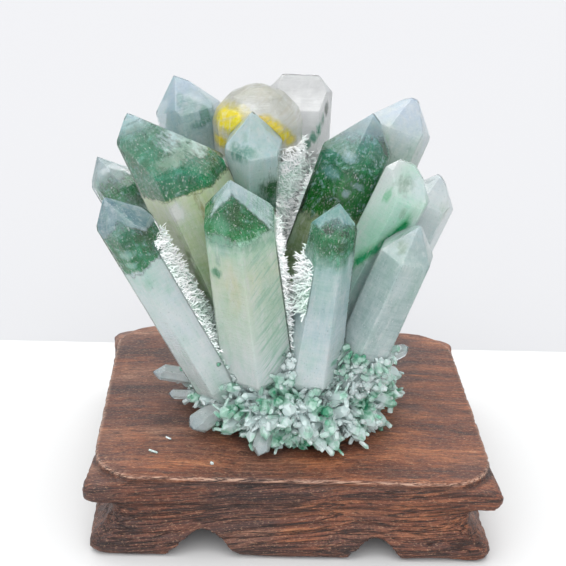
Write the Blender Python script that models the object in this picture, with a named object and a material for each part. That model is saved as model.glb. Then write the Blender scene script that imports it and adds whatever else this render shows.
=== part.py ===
"""Green quartz cluster on its carved wooden stand.

Metres, +Z up. The origin is the middle of the stand's underside, on the surface that it stands
on. The front of the object faces -Y, and +X is to the right of someone who looks at it.
"""
import math
import random
from collections import namedtuple

import bmesh
import bpy
from mathutils import Matrix, Vector

MM = 0.001
GAP = 0.3 * MM
MERGE = 0.005 * MM
ON_PLANE = 0.001 * MM

# The stand is sawn and carved from one block of hardwood.
STAND_HEIGHT = 27.3 * MM
PLATE_HALF_LENGTH = 61.0 * MM
PLATE_HALF_DEPTH = 49.6 * MM
PLATE_CORNER = 16.0 * MM
FOOT_END_SPREAD = 0.6 * MM
FOOT_SIDE_SPREAD = 2.0 * MM
EAR_REACH = 2.5 * MM
EAR_ZONE = 15.0 * MM
EAR_SIDE_SHARE = 0.4
EAR_BLEND = 2.0 * MM
CORNER_STEPS = 6

# One level of the carved block, from the floor up: its height, how far its ends and its long
# sides stand in from the plate, the radius of its corners, and how far the ears stand out.
Level = namedtuple("Level", "z end_in side_in corner ear")
STAND_LEVELS = (
    Level(0.0 * MM, 1.0 * MM, 0.9 * MM, 5.0 * MM, 0.0),
    Level(1.2 * MM, 0.0, 0.0, 4.0 * MM, 0.0),
    Level(3.8 * MM, 0.2 * MM, 0.0, 4.0 * MM, 0.0),
    Level(7.5 * MM, 3.6 * MM, 1.6 * MM, 6.0 * MM, 0.0),
    Level(11.5 * MM, 4.8 * MM, 2.6 * MM, 7.0 * MM, 0.0),
    Level(15.8 * MM, 4.2 * MM, 2.8 * MM, 6.0 * MM, 0.0),
    Level(17.4 * MM, 1.6 * MM, 2.4 * MM, 4.0 * MM, 0.8 * EAR_REACH),
    Level(18.8 * MM, 0.4 * MM, 1.8 * MM, 3.5 * MM, EAR_REACH),
    Level(22.6 * MM, 0.2 * MM, 1.4 * MM, 3.5 * MM, EAR_REACH),
    Level(24.2 * MM, 0.4 * MM, 1.4 * MM, 7.0 * MM, 0.6 * EAR_REACH),
    Level(25.2 * MM, 0.6 * MM, 1.6 * MM, 14.0 * MM, 0.0),
    Level(26.6 * MM, 0.6 * MM, 1.7 * MM, PLATE_CORNER, 0.0),
    Level(STAND_HEIGHT, 1.3 * MM, 2.4 * MM, PLATE_CORNER, 0.0),
)

# Each arch under the stand: the middle and width of its opening, and its height.
Arch = namedtuple("Arch", "middle width height")
FRONT_ARCHES = (
    Arch(-27.0 * MM, 25.0 * MM, 8.6 * MM),
    Arch(25.5 * MM, 20.0 * MM, 7.2 * MM),
)
END_ARCH = Arch(0.0, 34.0 * MM, 7.0 * MM)
END_ARCH_DEPTH = 12.0 * MM
ARCH_STEPS = 12
ARCH_FULLNESS = 1.5
ARCH_SPRING = 0.4 * MM
ARCH_SAW_BELOW = 2.0 * MM
ARCH_SAW_PAST = 5.0 * MM

# The quartz: every face at a crystal's end leans 38.2 degrees from its long axis.
END_FACE_ANGLE = math.radians(38.2)
ROOT_FACE_ANGLE = math.radians(24.0)
ROOT_FACE_SHARE = 0.3
SIDES = 6

# One crystal, in millimetres: the middle of its root and of its end, its width across the flats
# near the end, the share of that width left at the root, its turn about its own axis in degrees
# (at 0 a flat side faces the front), and how far each of its six end faces stands out past the
# end point, from the front side round to the right.
Crystal = namedtuple("Crystal", "root tip width root_share turn ends")
CRYSTALS = {
    "left_tall": Crystal((-6, -6, 38), (-44, -6, 122), 24, 1.0, 8, (4, -2, -1, 8, 15, 14)),
    "left_back": Crystal((-12, 8, 40), (-39, 26, 127), 19, 0.9, 20, (1, 2, 0, 3, 4, 3)),
    "left_far": Crystal((-22, 0, 38), (-61, 8, 104), 14, 0.9, 0, (1, 0, 2, 5, 6, 4)),
    "left_front": Crystal((-21, -19, 38), (-56, -24, 104), 14, 1.0, 15, (1, -1, 1, 3, 4, 3)),
    "front_wide": Crystal((-10, -15, 38), (-21, -32, 113), 19, 1.2, 28, (1, 0, 1, 3, 3, 3)),
    "front_right": Crystal((4, -20, 38), (8, -31, 107), 11, 1.6, -8, (0, 1, 2, 3, 1, 2)),
    "dark_right": Crystal((-6, -4, 38), (20, 8, 122), 20, 1.0, 12, (1, 4, 3, 3, 1, 0)),
    "right_back": Crystal((3, 6, 38), (35, 24, 124), 19, 0.9, 0, (1, 3, 2, 0, 2, 1)),
    "back_tall": Crystal((0, 16, 40), (0, 34, 128), 18, 0.9, 5, (0, 6, 6, 0, 7, 7)),
    "right_mid": Crystal((4, -12, 38), (33, -8, 111), 16, 1.0, 10, (1, 3, 1, 2, 8, 8)),
    "right_far": Crystal((17, -6, 38), (43, 4, 105), 15, 0.9, 0, (0, 2, 1, 3, 2, 0)),
    "right_low": Crystal((15, -18, 38), (33, -24, 99), 15, 1.1, 15, (0, 1, 2, 3, 0, 0)),
    "middle_short": Crystal((-13, 8, 64), (-16, -3, 124), 17, 0.7, 20, (0, 1, 2, 3, 2, 1)),
    "behind_left": Crystal((-16, 10, 38), (-50, 32, 90), 15, 0.9, 10, (0, 1, 2, 3, 2, 1)),
    "back_left_low": Crystal((-10, 20, 38), (-28, 50, 100), 17, 0.9, 25, (2, 1, 0, 1, 2, 3)),
    "back_low": Crystal((2, 22, 38), (6, 54, 92), 19, 0.9, 5, (3, 2, 1, 0, 1, 2)),
    "back_right_low": Crystal((12, 18, 38), (30, 46, 102), 16, 0.9, 15, (2, 1, 0, 2, 1, 0)),
    "behind_right": Crystal((17, 7, 38), (42, 26, 86), 15, 0.9, 0, (1, 0, 2, 1, 0, 2)),
    "side_left": Crystal((-29, -2, 34), (-45, -3, 37), 5, 1.0, 10, (1, 0, 0, 1, 2, 1)),
    "side_left_low": Crystal((-29, -9, 32), (-40, -9, 32), 3, 1.0, 25, (0, 0, 1, 0, 0, 1)),
    "side_right": Crystal((27, 2, 38), (39, 4, 45), 4, 1.0, 15, (1, 0, 1, 0, 1, 0)),
    "rim_low_front": Crystal((-8, -27, 34), (-11, -41, 30), 5, 1.0, 20, (0, 1, 0, 1, 0, 1)),
    "rim_low_left": Crystal((-22, -20, 34), (-32, -28, 31), 7, 1.0, 5, (1, 0, 2, 1, 0, 1)),
}

# The crystal with a rounded end, behind the middle, and the slopes of its bands of facets.
ROUND_ROOT = (-10, 12, 42)
ROUND_TIP = (-15, 14, 129)
ROUND_RADIUS = 14.0 * MM
ROUND_ROOT_SHARE = 0.8
ROUND_BODY_SHARE = 1.04
ROUND_SIDES = 12
ROUND_BANDS = (18.0, 42.0, 66.0)

# The crust of small points that the crystals stand in.
CRUST_HALF_LENGTH = 27.5 * MM
CRUST_HALF_DEPTH = 31.0 * MM
CRUST_MIDDLE_HEIGHT = 36.0 * MM
CRUST_HALF_HEIGHT = 14.0 * MM
CRUST_ROUGHNESS = 1.2 * MM
CRUST_SEGMENTS = 20
CRUST_ROWS = 10

# A ring of small points: how many, the angle above the level at which they stand on the crust
# and at which they point, and the range of their length and width.
Ring = namedtuple("Ring", "count stand point length width")
POINT_RINGS = (
    Ring(26, -16, -24, (8.0 * MM, 11.0 * MM), (3.0 * MM, 4.6 * MM)),
    Ring(25, 6, -4, (7.5 * MM, 10.5 * MM), (2.8 * MM, 4.4 * MM)),
    Ring(22, 27, 16, (7.0 * MM, 10.0 * MM), (2.6 * MM, 4.2 * MM)),
    Ring(18, 48, 34, (8.0 * MM, 12.0 * MM), (2.4 * MM, 3.8 * MM)),
)
POINT_SEED = 11
POINT_CLEARANCE = 0.7
POINT_END_SPREAD = 0.25

# How far a small point strays from its ring: the share of its step round the ring, and the angles
# in degrees by which it stands higher or lower, tilts, and turns aside.
STRAY_STEP = 0.35
STRAY_STAND = 7.0
STRAY_TILT = 22.0
STRAY_HEADING = 28.0

QUARTZ_COLOUR = (0.62, 0.76, 0.70, 1.0)
QUARTZ_ROUGHNESS = 0.12
WOOD_COLOUR = (0.17, 0.075, 0.045, 1.0)
WOOD_ROUGHNESS = 0.42


def clear_scene():
    """Remove every object of the scene."""
    for thing in list(bpy.data.objects):
        bpy.data.objects.remove(thing, do_unlink=True)


def new_collection(name):
    """Make a collection and link it to the scene."""
    collection = bpy.data.collections.new(name)
    bpy.context.scene.collection.children.link(collection)
    return collection


def new_material(name, colour, roughness, metallic=0.0):
    """Make a plain Principled material."""
    material = bpy.data.materials.new(name)
    material.use_nodes = True
    shader = material.node_tree.nodes["Principled BSDF"]
    shader.inputs["Base Color"].default_value = colour
    shader.inputs["Roughness"].default_value = roughness
    shader.inputs["Metallic"].default_value = metallic
    return material


def object_from(bm, name, collection):
    """Turn a bmesh into an object of a collection."""
    bmesh.ops.recalc_face_normals(bm, faces=bm.faces[:])
    mesh = bpy.data.meshes.new(name)
    bm.to_mesh(mesh)
    bm.free()
    thing = bpy.data.objects.new(name, mesh)
    collection.objects.link(thing)
    return thing


def make_guide(thing):
    """Mark an object as a shape that is only joined or cut with."""
    thing.hide_render = True
    thing.display_type = "WIRE"


def apply_boolean(target, operation, guides):
    """Join or cut a target with an object or a whole collection, and keep the result as its mesh."""
    modifier = target.modifiers.new(operation.lower(), "BOOLEAN")
    modifier.operation = operation
    modifier.solver = "EXACT"
    if isinstance(guides, bpy.types.Collection):
        modifier.operand_type = "COLLECTION"
        modifier.collection = guides
    else:
        modifier.object = guides
    graph = bpy.context.evaluated_depsgraph_get()
    graph.update()
    result = bpy.data.meshes.new_from_object(target.evaluated_get(graph))
    target.modifiers.clear()
    bm = bmesh.new()
    bm.from_mesh(result)
    bmesh.ops.remove_doubles(bm, verts=bm.verts[:], dist=MERGE)
    bmesh.ops.dissolve_degenerate(bm, edges=bm.edges[:], dist=MERGE)
    bm.to_mesh(result)
    bm.free()
    target.data = result


def ring_points(level):
    """Points round one level of the stand: a rectangle with round corners and ears."""
    half_x = PLATE_HALF_LENGTH + FOOT_END_SPREAD - level.end_in
    half_y = PLATE_HALF_DEPTH + FOOT_SIDE_SPREAD - level.side_in
    points = []
    for corner in range(4):
        start = corner * 90.0
        sign_x = 1.0 if corner in (0, 3) else -1.0
        sign_y = 1.0 if corner in (0, 1) else -1.0
        arc = []
        for step in range(CORNER_STEPS + 1):
            angle = math.radians(start + 90.0 * step / CORNER_STEPS)
            arc.append(Vector((sign_x * (half_x - level.corner) + level.corner * math.cos(angle),
                               sign_y * (half_y - level.corner) + level.corner * math.sin(angle),
                               level.z)))
        points.append(side_point(arc[0], corner, half_x, half_y))
        points.extend(arc)
        points.append(side_point(arc[-1], corner + 1, half_x, half_y))
    for point in points:
        stretch_ear(point, half_x, half_y, level.ear)
    return points


def side_point(near, turn, half_x, half_y):
    """A point on the straight side beside a corner, where the ear begins."""
    back = PLATE_CORNER + EAR_BLEND
    if turn % 2 == 0:
        return Vector((near.x, math.copysign(half_y - back, near.y), near.z))
    return Vector((math.copysign(half_x - back, near.x), near.y, near.z))


def stretch_ear(point, half_x, half_y, reach):
    """Push a point near a corner outwards, to form the ear."""
    near_x = max(0.0, 1.0 - (half_x - abs(point.x)) / EAR_ZONE)
    near_y = max(0.0, 1.0 - (half_y - abs(point.y)) / EAR_ZONE)
    amount = reach * near_x * near_y
    point.x += math.copysign(amount, point.x)
    point.y += math.copysign(EAR_SIDE_SHARE * amount, point.y)


def carved_block(name, collection):
    """The stand's block, lofted through its levels."""
    bm = bmesh.new()
    rings = []
    for level in STAND_LEVELS:
        rings.append([bm.verts.new(point) for point in ring_points(level)])
    count = len(rings[0])
    for lower, upper in zip(rings, rings[1:]):
        for i in range(count):
            j = (i + 1) % count
            bm.faces.new((lower[i], lower[j], upper[j], upper[i]))
    bm.faces.new(rings[0])
    bm.faces.new(rings[-1])
    bmesh.ops.triangulate(bm, faces=bm.faces[:])
    return object_from(bm, name, collection)


def arch_outline(arch):
    """An arch's outline from left to right, closed below the floor."""
    points = [Vector((arch.middle - 0.5 * arch.width, -ARCH_SAW_BELOW, 0.0))]
    for step in range(ARCH_STEPS + 1):
        share = step / ARCH_STEPS
        rise = math.sin(math.pi * share) ** ARCH_FULLNESS
        points.append(Vector((arch.middle + (share - 0.5) * arch.width,
                              (arch.height + ARCH_SPRING) * rise - ARCH_SPRING, 0.0)))
    points.append(Vector((arch.middle + 0.5 * arch.width, -ARCH_SAW_BELOW, 0.0)))
    return points


def arch_cutter(name, arch, low, high, along_x, collection):
    """A bar with an arch's outline, from low to high along X or Y."""
    bm = bmesh.new()
    face = bm.faces.new([bm.verts.new(point) for point in arch_outline(arch)])
    moved = bmesh.ops.extrude_face_region(bm, geom=[face])["geom"]
    verts = [item for item in moved if isinstance(item, bmesh.types.BMVert)]
    bmesh.ops.translate(bm, verts=verts, vec=(0.0, 0.0, high - low))
    upright = Matrix.Translation((0.0, high, 0.0)) @ Matrix.Rotation(math.radians(90.0), 4, "X")
    if along_x:
        upright = Matrix.Rotation(math.radians(-90.0), 4, "Z") @ upright
    bm.transform(upright)
    bmesh.ops.triangulate(bm, faces=bm.faces[:])
    cutter = object_from(bm, name, collection)
    make_guide(cutter)
    return cutter


def build_stand(parts, cutters):
    """The carved stand, with its arches sawn out from below."""
    stand = carved_block("stand", parts)
    reach = PLATE_HALF_DEPTH + ARCH_SAW_PAST
    outer = PLATE_HALF_LENGTH + ARCH_SAW_PAST
    inner = PLATE_HALF_LENGTH - END_ARCH_DEPTH
    arches = [arch_cutter(f"front_arch_{number}", arch, -reach, reach, False, cutters)
              for number, arch in enumerate(FRONT_ARCHES, start=1)]
    arches.append(arch_cutter("right_arch", END_ARCH, inner, outer, True, cutters))
    arches.append(arch_cutter("left_arch", END_ARCH, -outer, -inner, True, cutters))
    for arch in arches:
        apply_boolean(stand, "DIFFERENCE", arch)
    stand.data.materials.append(new_material("carved_hardwood", WOOD_COLOUR, WOOD_ROUGHNESS))
    return stand


def cut_flat(bm, point, normal):
    """Cut away what lies past a plane, and close the cut with one flat face."""
    geometry = bm.verts[:] + bm.edges[:] + bm.faces[:]
    cut = bmesh.ops.bisect_plane(bm, geom=geometry, dist=ON_PLANE, plane_co=point,
                                 plane_no=normal, clear_outer=True)["geom_cut"]
    edges = [item for item in cut if isinstance(item, bmesh.types.BMEdge)]
    if len(edges) > 2:
        bmesh.ops.edgeloop_fill(bm, edges=edges)


def crystal_frame(root, tip):
    """A matrix whose Z runs from root to tip, and whose -Y faces the front."""
    axis = (tip - root).normalized()
    front = Vector((0.0, -1.0, 0.0))
    front = (front - axis * front.dot(axis)).normalized()
    right = axis.cross(front)
    rotation = Matrix((right, -front, axis)).transposed().to_4x4()
    return Matrix.Translation(root) @ rotation


def crystal_shape(root, tip, width, root_share, turn, ends):
    """A six-sided crystal with flat end faces, as a bmesh in its place."""
    length = (tip - root).length
    spare = width
    radius = 0.5 * width / math.cos(math.pi / SIDES)
    bm = bmesh.new()
    bmesh.ops.create_cone(bm, cap_ends=True, segments=SIDES, radius1=radius * root_share,
                          radius2=radius * (1.0 + (1.0 - root_share) * spare / length),
                          depth=length + spare,
                          matrix=Matrix.Translation((0.0, 0.0, 0.5 * (length + spare))))
    half_side = math.pi / SIDES
    bmesh.ops.rotate(bm, verts=bm.verts[:],
                     matrix=Matrix.Rotation(half_side + math.radians(turn), 3, "Z"))
    for side in range(SIDES):
        angle = math.radians(turn) + side * 2.0 * half_side
        out = Vector((math.sin(angle), -math.cos(angle), 0.0))
        end_normal = out * math.cos(END_FACE_ANGLE)
        end_normal.z = math.sin(END_FACE_ANGLE)
        cut_flat(bm, Vector((0.0, 0.0, length + ends[side])), end_normal)
        root_normal = out * math.cos(ROOT_FACE_ANGLE)
        root_normal.z = -math.sin(ROOT_FACE_ANGLE)
        cut_flat(bm, out * ROOT_FACE_SHARE * width, root_normal)
    bm.transform(crystal_frame(root, tip))
    return bm


def large_crystals(collection):
    """The main crystals, each with a place of its own."""
    for name, crystal in CRYSTALS.items():
        root = Vector(crystal.root) * MM
        tip = Vector(crystal.tip) * MM
        ends = [stand_out * MM for stand_out in crystal.ends]
        bm = crystal_shape(root, tip, crystal.width * MM, crystal.root_share, crystal.turn, ends)
        make_guide(object_from(bm, name, collection))


def round_crystal(collection):
    """The fat crystal with a rounded end, cut into bands of facets."""
    root = Vector(ROUND_ROOT) * MM
    tip = Vector(ROUND_TIP) * MM
    length = (tip - root).length
    middle = Vector((0.0, 0.0, length - ROUND_RADIUS))
    bm = bmesh.new()
    bmesh.ops.create_cone(bm, cap_ends=True, segments=ROUND_SIDES,
                          radius1=ROUND_ROOT_SHARE * ROUND_RADIUS,
                          radius2=ROUND_BODY_SHARE * ROUND_RADIUS, depth=length,
                          matrix=Matrix.Translation((0.0, 0.0, 0.5 * length)))
    for band in ROUND_BANDS:
        slope = math.radians(band)
        for side in range(ROUND_SIDES):
            angle = 2.0 * math.pi * (side + 0.5) / ROUND_SIDES
            normal = Vector((math.cos(slope) * math.cos(angle),
                             math.cos(slope) * math.sin(angle), math.sin(slope)))
            cut_flat(bm, middle + normal * ROUND_RADIUS, normal)
    bm.transform(crystal_frame(root, tip))
    make_guide(object_from(bm, "round_end", collection))


def crust_point(stand, around):
    """A point on the crust's surface."""
    level = math.cos(stand)
    return Vector((CRUST_HALF_LENGTH * level * math.cos(around),
                   CRUST_HALF_DEPTH * level * math.sin(around),
                   CRUST_MIDDLE_HEIGHT + CRUST_HALF_HEIGHT * math.sin(stand)))


def small_points(collection):
    """The crust's small points, in rings from its rim up to the crystals."""
    dice = random.Random(POINT_SEED)
    for ring_number, ring in enumerate(POINT_RINGS, start=1):
        for number in range(ring.count):
            around = 2.0 * math.pi * (number + dice.uniform(-STRAY_STEP, STRAY_STEP)) / ring.count
            stand = math.radians(ring.stand + dice.uniform(-STRAY_STAND, STRAY_STAND))
            point_up = math.radians(ring.point + dice.uniform(-STRAY_TILT, STRAY_TILT))
            heading = around + math.radians(dice.uniform(-STRAY_HEADING, STRAY_HEADING))
            way = Vector((math.cos(point_up) * math.cos(heading),
                          math.cos(point_up) * math.sin(heading), math.sin(point_up)))
            length = dice.uniform(*ring.length)
            width = dice.uniform(*ring.width)
            surface = crust_point(stand, around)
            tip = surface + way * length
            tip.z = max(tip.z, STAND_HEIGHT + GAP + POINT_CLEARANCE * width)
            root = surface - way * width
            turn = dice.uniform(0.0, 360.0 / SIDES)
            ends = [dice.uniform(0.0, POINT_END_SPREAD) * width for _ in range(SIDES)]
            bm = crystal_shape(root, tip, width, 1.0, turn, ends)
            make_guide(object_from(bm, f"small_point_{ring_number}_{number + 1}", collection))


def crust_core(name, collection):
    """The crust's low dome, flat below where it rests on the stand."""
    dice = random.Random(POINT_SEED + 1)
    bm = bmesh.new()
    bmesh.ops.create_uvsphere(bm, u_segments=CRUST_SEGMENTS, v_segments=CRUST_ROWS, radius=1.0)
    for vert in bm.verts:
        direction = vert.co.copy()
        vert.co = Vector((direction.x * CRUST_HALF_LENGTH, direction.y * CRUST_HALF_DEPTH,
                          direction.z * CRUST_HALF_HEIGHT + CRUST_MIDDLE_HEIGHT))
        vert.co += direction * dice.uniform(-CRUST_ROUGHNESS, CRUST_ROUGHNESS)
    cut_flat(bm, Vector((0.0, 0.0, STAND_HEIGHT + GAP)), Vector((0.0, 0.0, -1.0)))
    return object_from(bm, name, collection)


def build_cluster(parts, cutters):
    """The whole quartz, crust and crystals, joined in one solid."""
    cluster = crust_core("quartz_cluster", parts)
    shapes = bpy.data.collections.new("crystal_shapes")
    cutters.children.link(shapes)
    large_crystals(shapes)
    round_crystal(shapes)
    small_points(shapes)
    apply_boolean(cluster, "UNION", shapes)
    cluster.data.materials.clear()
    cluster.data.materials.append(new_material("green_quartz", QUARTZ_COLOUR, QUARTZ_ROUGHNESS))
    return cluster


def build():
    """Build the whole object."""
    clear_scene()
    parts = new_collection("green_quartz_cluster")
    cutters = new_collection("guides")
    build_stand(parts, cutters)
    build_cluster(parts, cutters)


build()
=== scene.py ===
"""Green quartz cluster on its carved wooden stand: the looks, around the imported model."""
import math
import random

import bmesh
import bpy
from mathutils import Matrix, Vector, noise


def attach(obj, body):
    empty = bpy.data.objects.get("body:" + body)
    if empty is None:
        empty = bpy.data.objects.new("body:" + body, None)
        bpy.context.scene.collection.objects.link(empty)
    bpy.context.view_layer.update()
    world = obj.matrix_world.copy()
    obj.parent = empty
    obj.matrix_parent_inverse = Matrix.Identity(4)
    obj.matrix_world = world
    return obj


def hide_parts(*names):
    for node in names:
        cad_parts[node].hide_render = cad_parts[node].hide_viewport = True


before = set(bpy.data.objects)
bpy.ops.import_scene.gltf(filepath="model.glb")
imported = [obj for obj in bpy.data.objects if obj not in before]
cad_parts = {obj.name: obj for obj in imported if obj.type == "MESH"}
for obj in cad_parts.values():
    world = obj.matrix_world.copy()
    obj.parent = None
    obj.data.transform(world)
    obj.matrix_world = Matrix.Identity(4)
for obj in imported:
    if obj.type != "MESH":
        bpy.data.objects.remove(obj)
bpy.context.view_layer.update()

# The stand: one block of open-pored reddish hardwood, sawn with arches below, carved with a plate
# and four ears, sanded along the grain, stained and waxed. The cluster only rests on it.
MM = 0.001
MERGE = 0.005 * MM
STAND_VOXEL = 0.72 * MM
GRAIN_RISE = math.radians(5.5)
GROOVE_DEPTH = 0.42 * MM
PLATE_GROOVE_DEPTH = 0.08 * MM
KNIFE_DEPTH = 0.30 * MM
CREASE_DEPTH = 1.1 * MM
PLATE_HALF, PLATE_ROUND = (61.0, 49.9), 16.0
WAIST_DEPTH, WAIST_HEIGHT, WAIST_REACH = 1.5 * MM, 13.0, 5.0


def linear(code, alpha=1.0):
    """A linear colour from an sRGB hex code."""
    parts = [int(code[i:i + 2], 16) / 255.0 for i in (1, 3, 5)]
    return [c / 12.92 if c <= 0.04045 else ((c + 0.055) / 1.055) ** 2.4 for c in parts] + [alpha]


def add(tree, kind, sockets=None, out=0, stops=None, **settings):
    """Add a node with its settings, values and links, and return one of its outputs."""
    made = tree.nodes.new(kind)
    for name, value in settings.items():
        setattr(made, name, value)
    for key, value in (sockets or {}).items():
        if isinstance(value, bpy.types.NodeSocket):
            tree.links.new(value, made.inputs[key])
        else:
            made.inputs[key].default_value = value
    if stops:
        elements = made.color_ramp.elements
        while len(elements) < len(stops):
            elements.new(0.5)
        for element, (place, colour) in zip(elements, stops):
            element.position = place
            element.color = colour
    return made.outputs[out] if len(made.outputs) else made


def new_material(name):
    """A node material and its Principled shader."""
    material = bpy.data.materials.new(name)
    material.use_nodes = True
    return material, material.node_tree, material.node_tree.nodes["Principled BSDF"]


def object_from(bm, name, material, smooth_angle=None):
    """An object at the origin from a bmesh, with its material."""
    mesh = bpy.data.meshes.new(name)
    bm.to_mesh(mesh)
    bm.free()
    mesh.materials.append(material)
    if smooth_angle is not None:
        mesh.shade_smooth()
        mesh.set_sharp_from_angle(angle=math.radians(smooth_angle))
    thing = bpy.data.objects.new(name, mesh)
    bpy.context.scene.collection.objects.link(thing)
    return thing


def evaluated_mesh(thing):
    """The mesh of an object with its modifiers, as a plain mesh."""
    graph = bpy.context.evaluated_depsgraph_get()
    graph.update()
    return bpy.data.meshes.new_from_object(thing.evaluated_get(graph))


def rim_marks(point):
    """How near a point is to the crease below the plate's rim, and to the rim's edge, which wear and a painted
    highlight lighten, 0 to 1.
    """
    past = [abs(place) / MM - half + PLATE_ROUND for place, half in zip(point.xy, PLATE_HALF)]
    outside = math.hypot(max(0.0, past[0]), max(0.0, past[1])) + min(0.0, max(past)) - PLATE_ROUND
    up = point.z / MM
    crease = max(0.0, 1.0 - math.hypot(outside - 0.4, up - 25.3) / 1.1)
    return crease, max(0.0, 1.0 - math.hypot(outside + 0.4, up - 27.0) / 0.8)


def carve(point, normal, crease):
    """How deep the tools and the open grain go in at a point of the stand."""
    along, across, up = point.x / MM, point.y / MM, point.z / MM
    level = up - along * math.tan(GRAIN_RISE)
    bend = 2.0 * noise.noise(Vector((along / 60.0, across / 40.0, up / 40.0)))
    grain = noise.fractal(Vector((along / 26.0, (across + bend) / 2.4, (level + bend) / 1.9)), 1.0, 2.0, 3)
    groove = min(1.0, max(0.0, grain * 1.6 + 0.25))
    plate = max(0.0, normal.z) ** 4
    knife = noise.noise(Vector((along / 9.0, across / 9.0, up / 5.0))) * 0.5 + 0.5
    depth = groove * (GROOVE_DEPTH * (1.0 - plate) + PLATE_GROOVE_DEPTH * plate)
    waist = max(0.0, 1.0 - ((up - WAIST_HEIGHT) / WAIST_REACH) ** 2) * min(1.0, max(0.0, (abs(along) - 46.0) / 10.0))
    depth += WAIST_DEPTH * waist
    return depth + knife * (KNIFE_DEPTH * (1.0 - plate) + CREASE_DEPTH * crease)


def carved_stand():
    """The stand's fine mesh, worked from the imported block."""
    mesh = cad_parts["stand"].data.copy()
    bm = bmesh.new()
    bm.from_mesh(mesh)
    bmesh.ops.remove_doubles(bm, verts=bm.verts[:], dist=MERGE)
    stand = object_from(bm, "carved_stand", carved_hardwood())
    remesh = stand.modifiers.new("remesh", "REMESH")
    remesh.mode = "VOXEL"
    remesh.voxel_size = STAND_VOXEL
    mesh = evaluated_mesh(stand)
    stand.modifiers.clear()
    stand.data = mesh
    normals = [vert.normal.copy() for vert in mesh.vertices]
    marks = mesh.attributes.new("carving", "FLOAT_VECTOR", "POINT")
    for vert, normal, mark in zip(mesh.vertices, normals, marks.data):
        crease, edge = rim_marks(vert.co)
        mark.vector = (1.0 - max(0.0, normal.z) ** 4, crease, edge)
        vert.co -= normal * carve(vert.co, normal, crease)
        vert.co.z = max(vert.co.z, 0.0)
    mesh.shade_smooth()
    return stand


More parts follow.
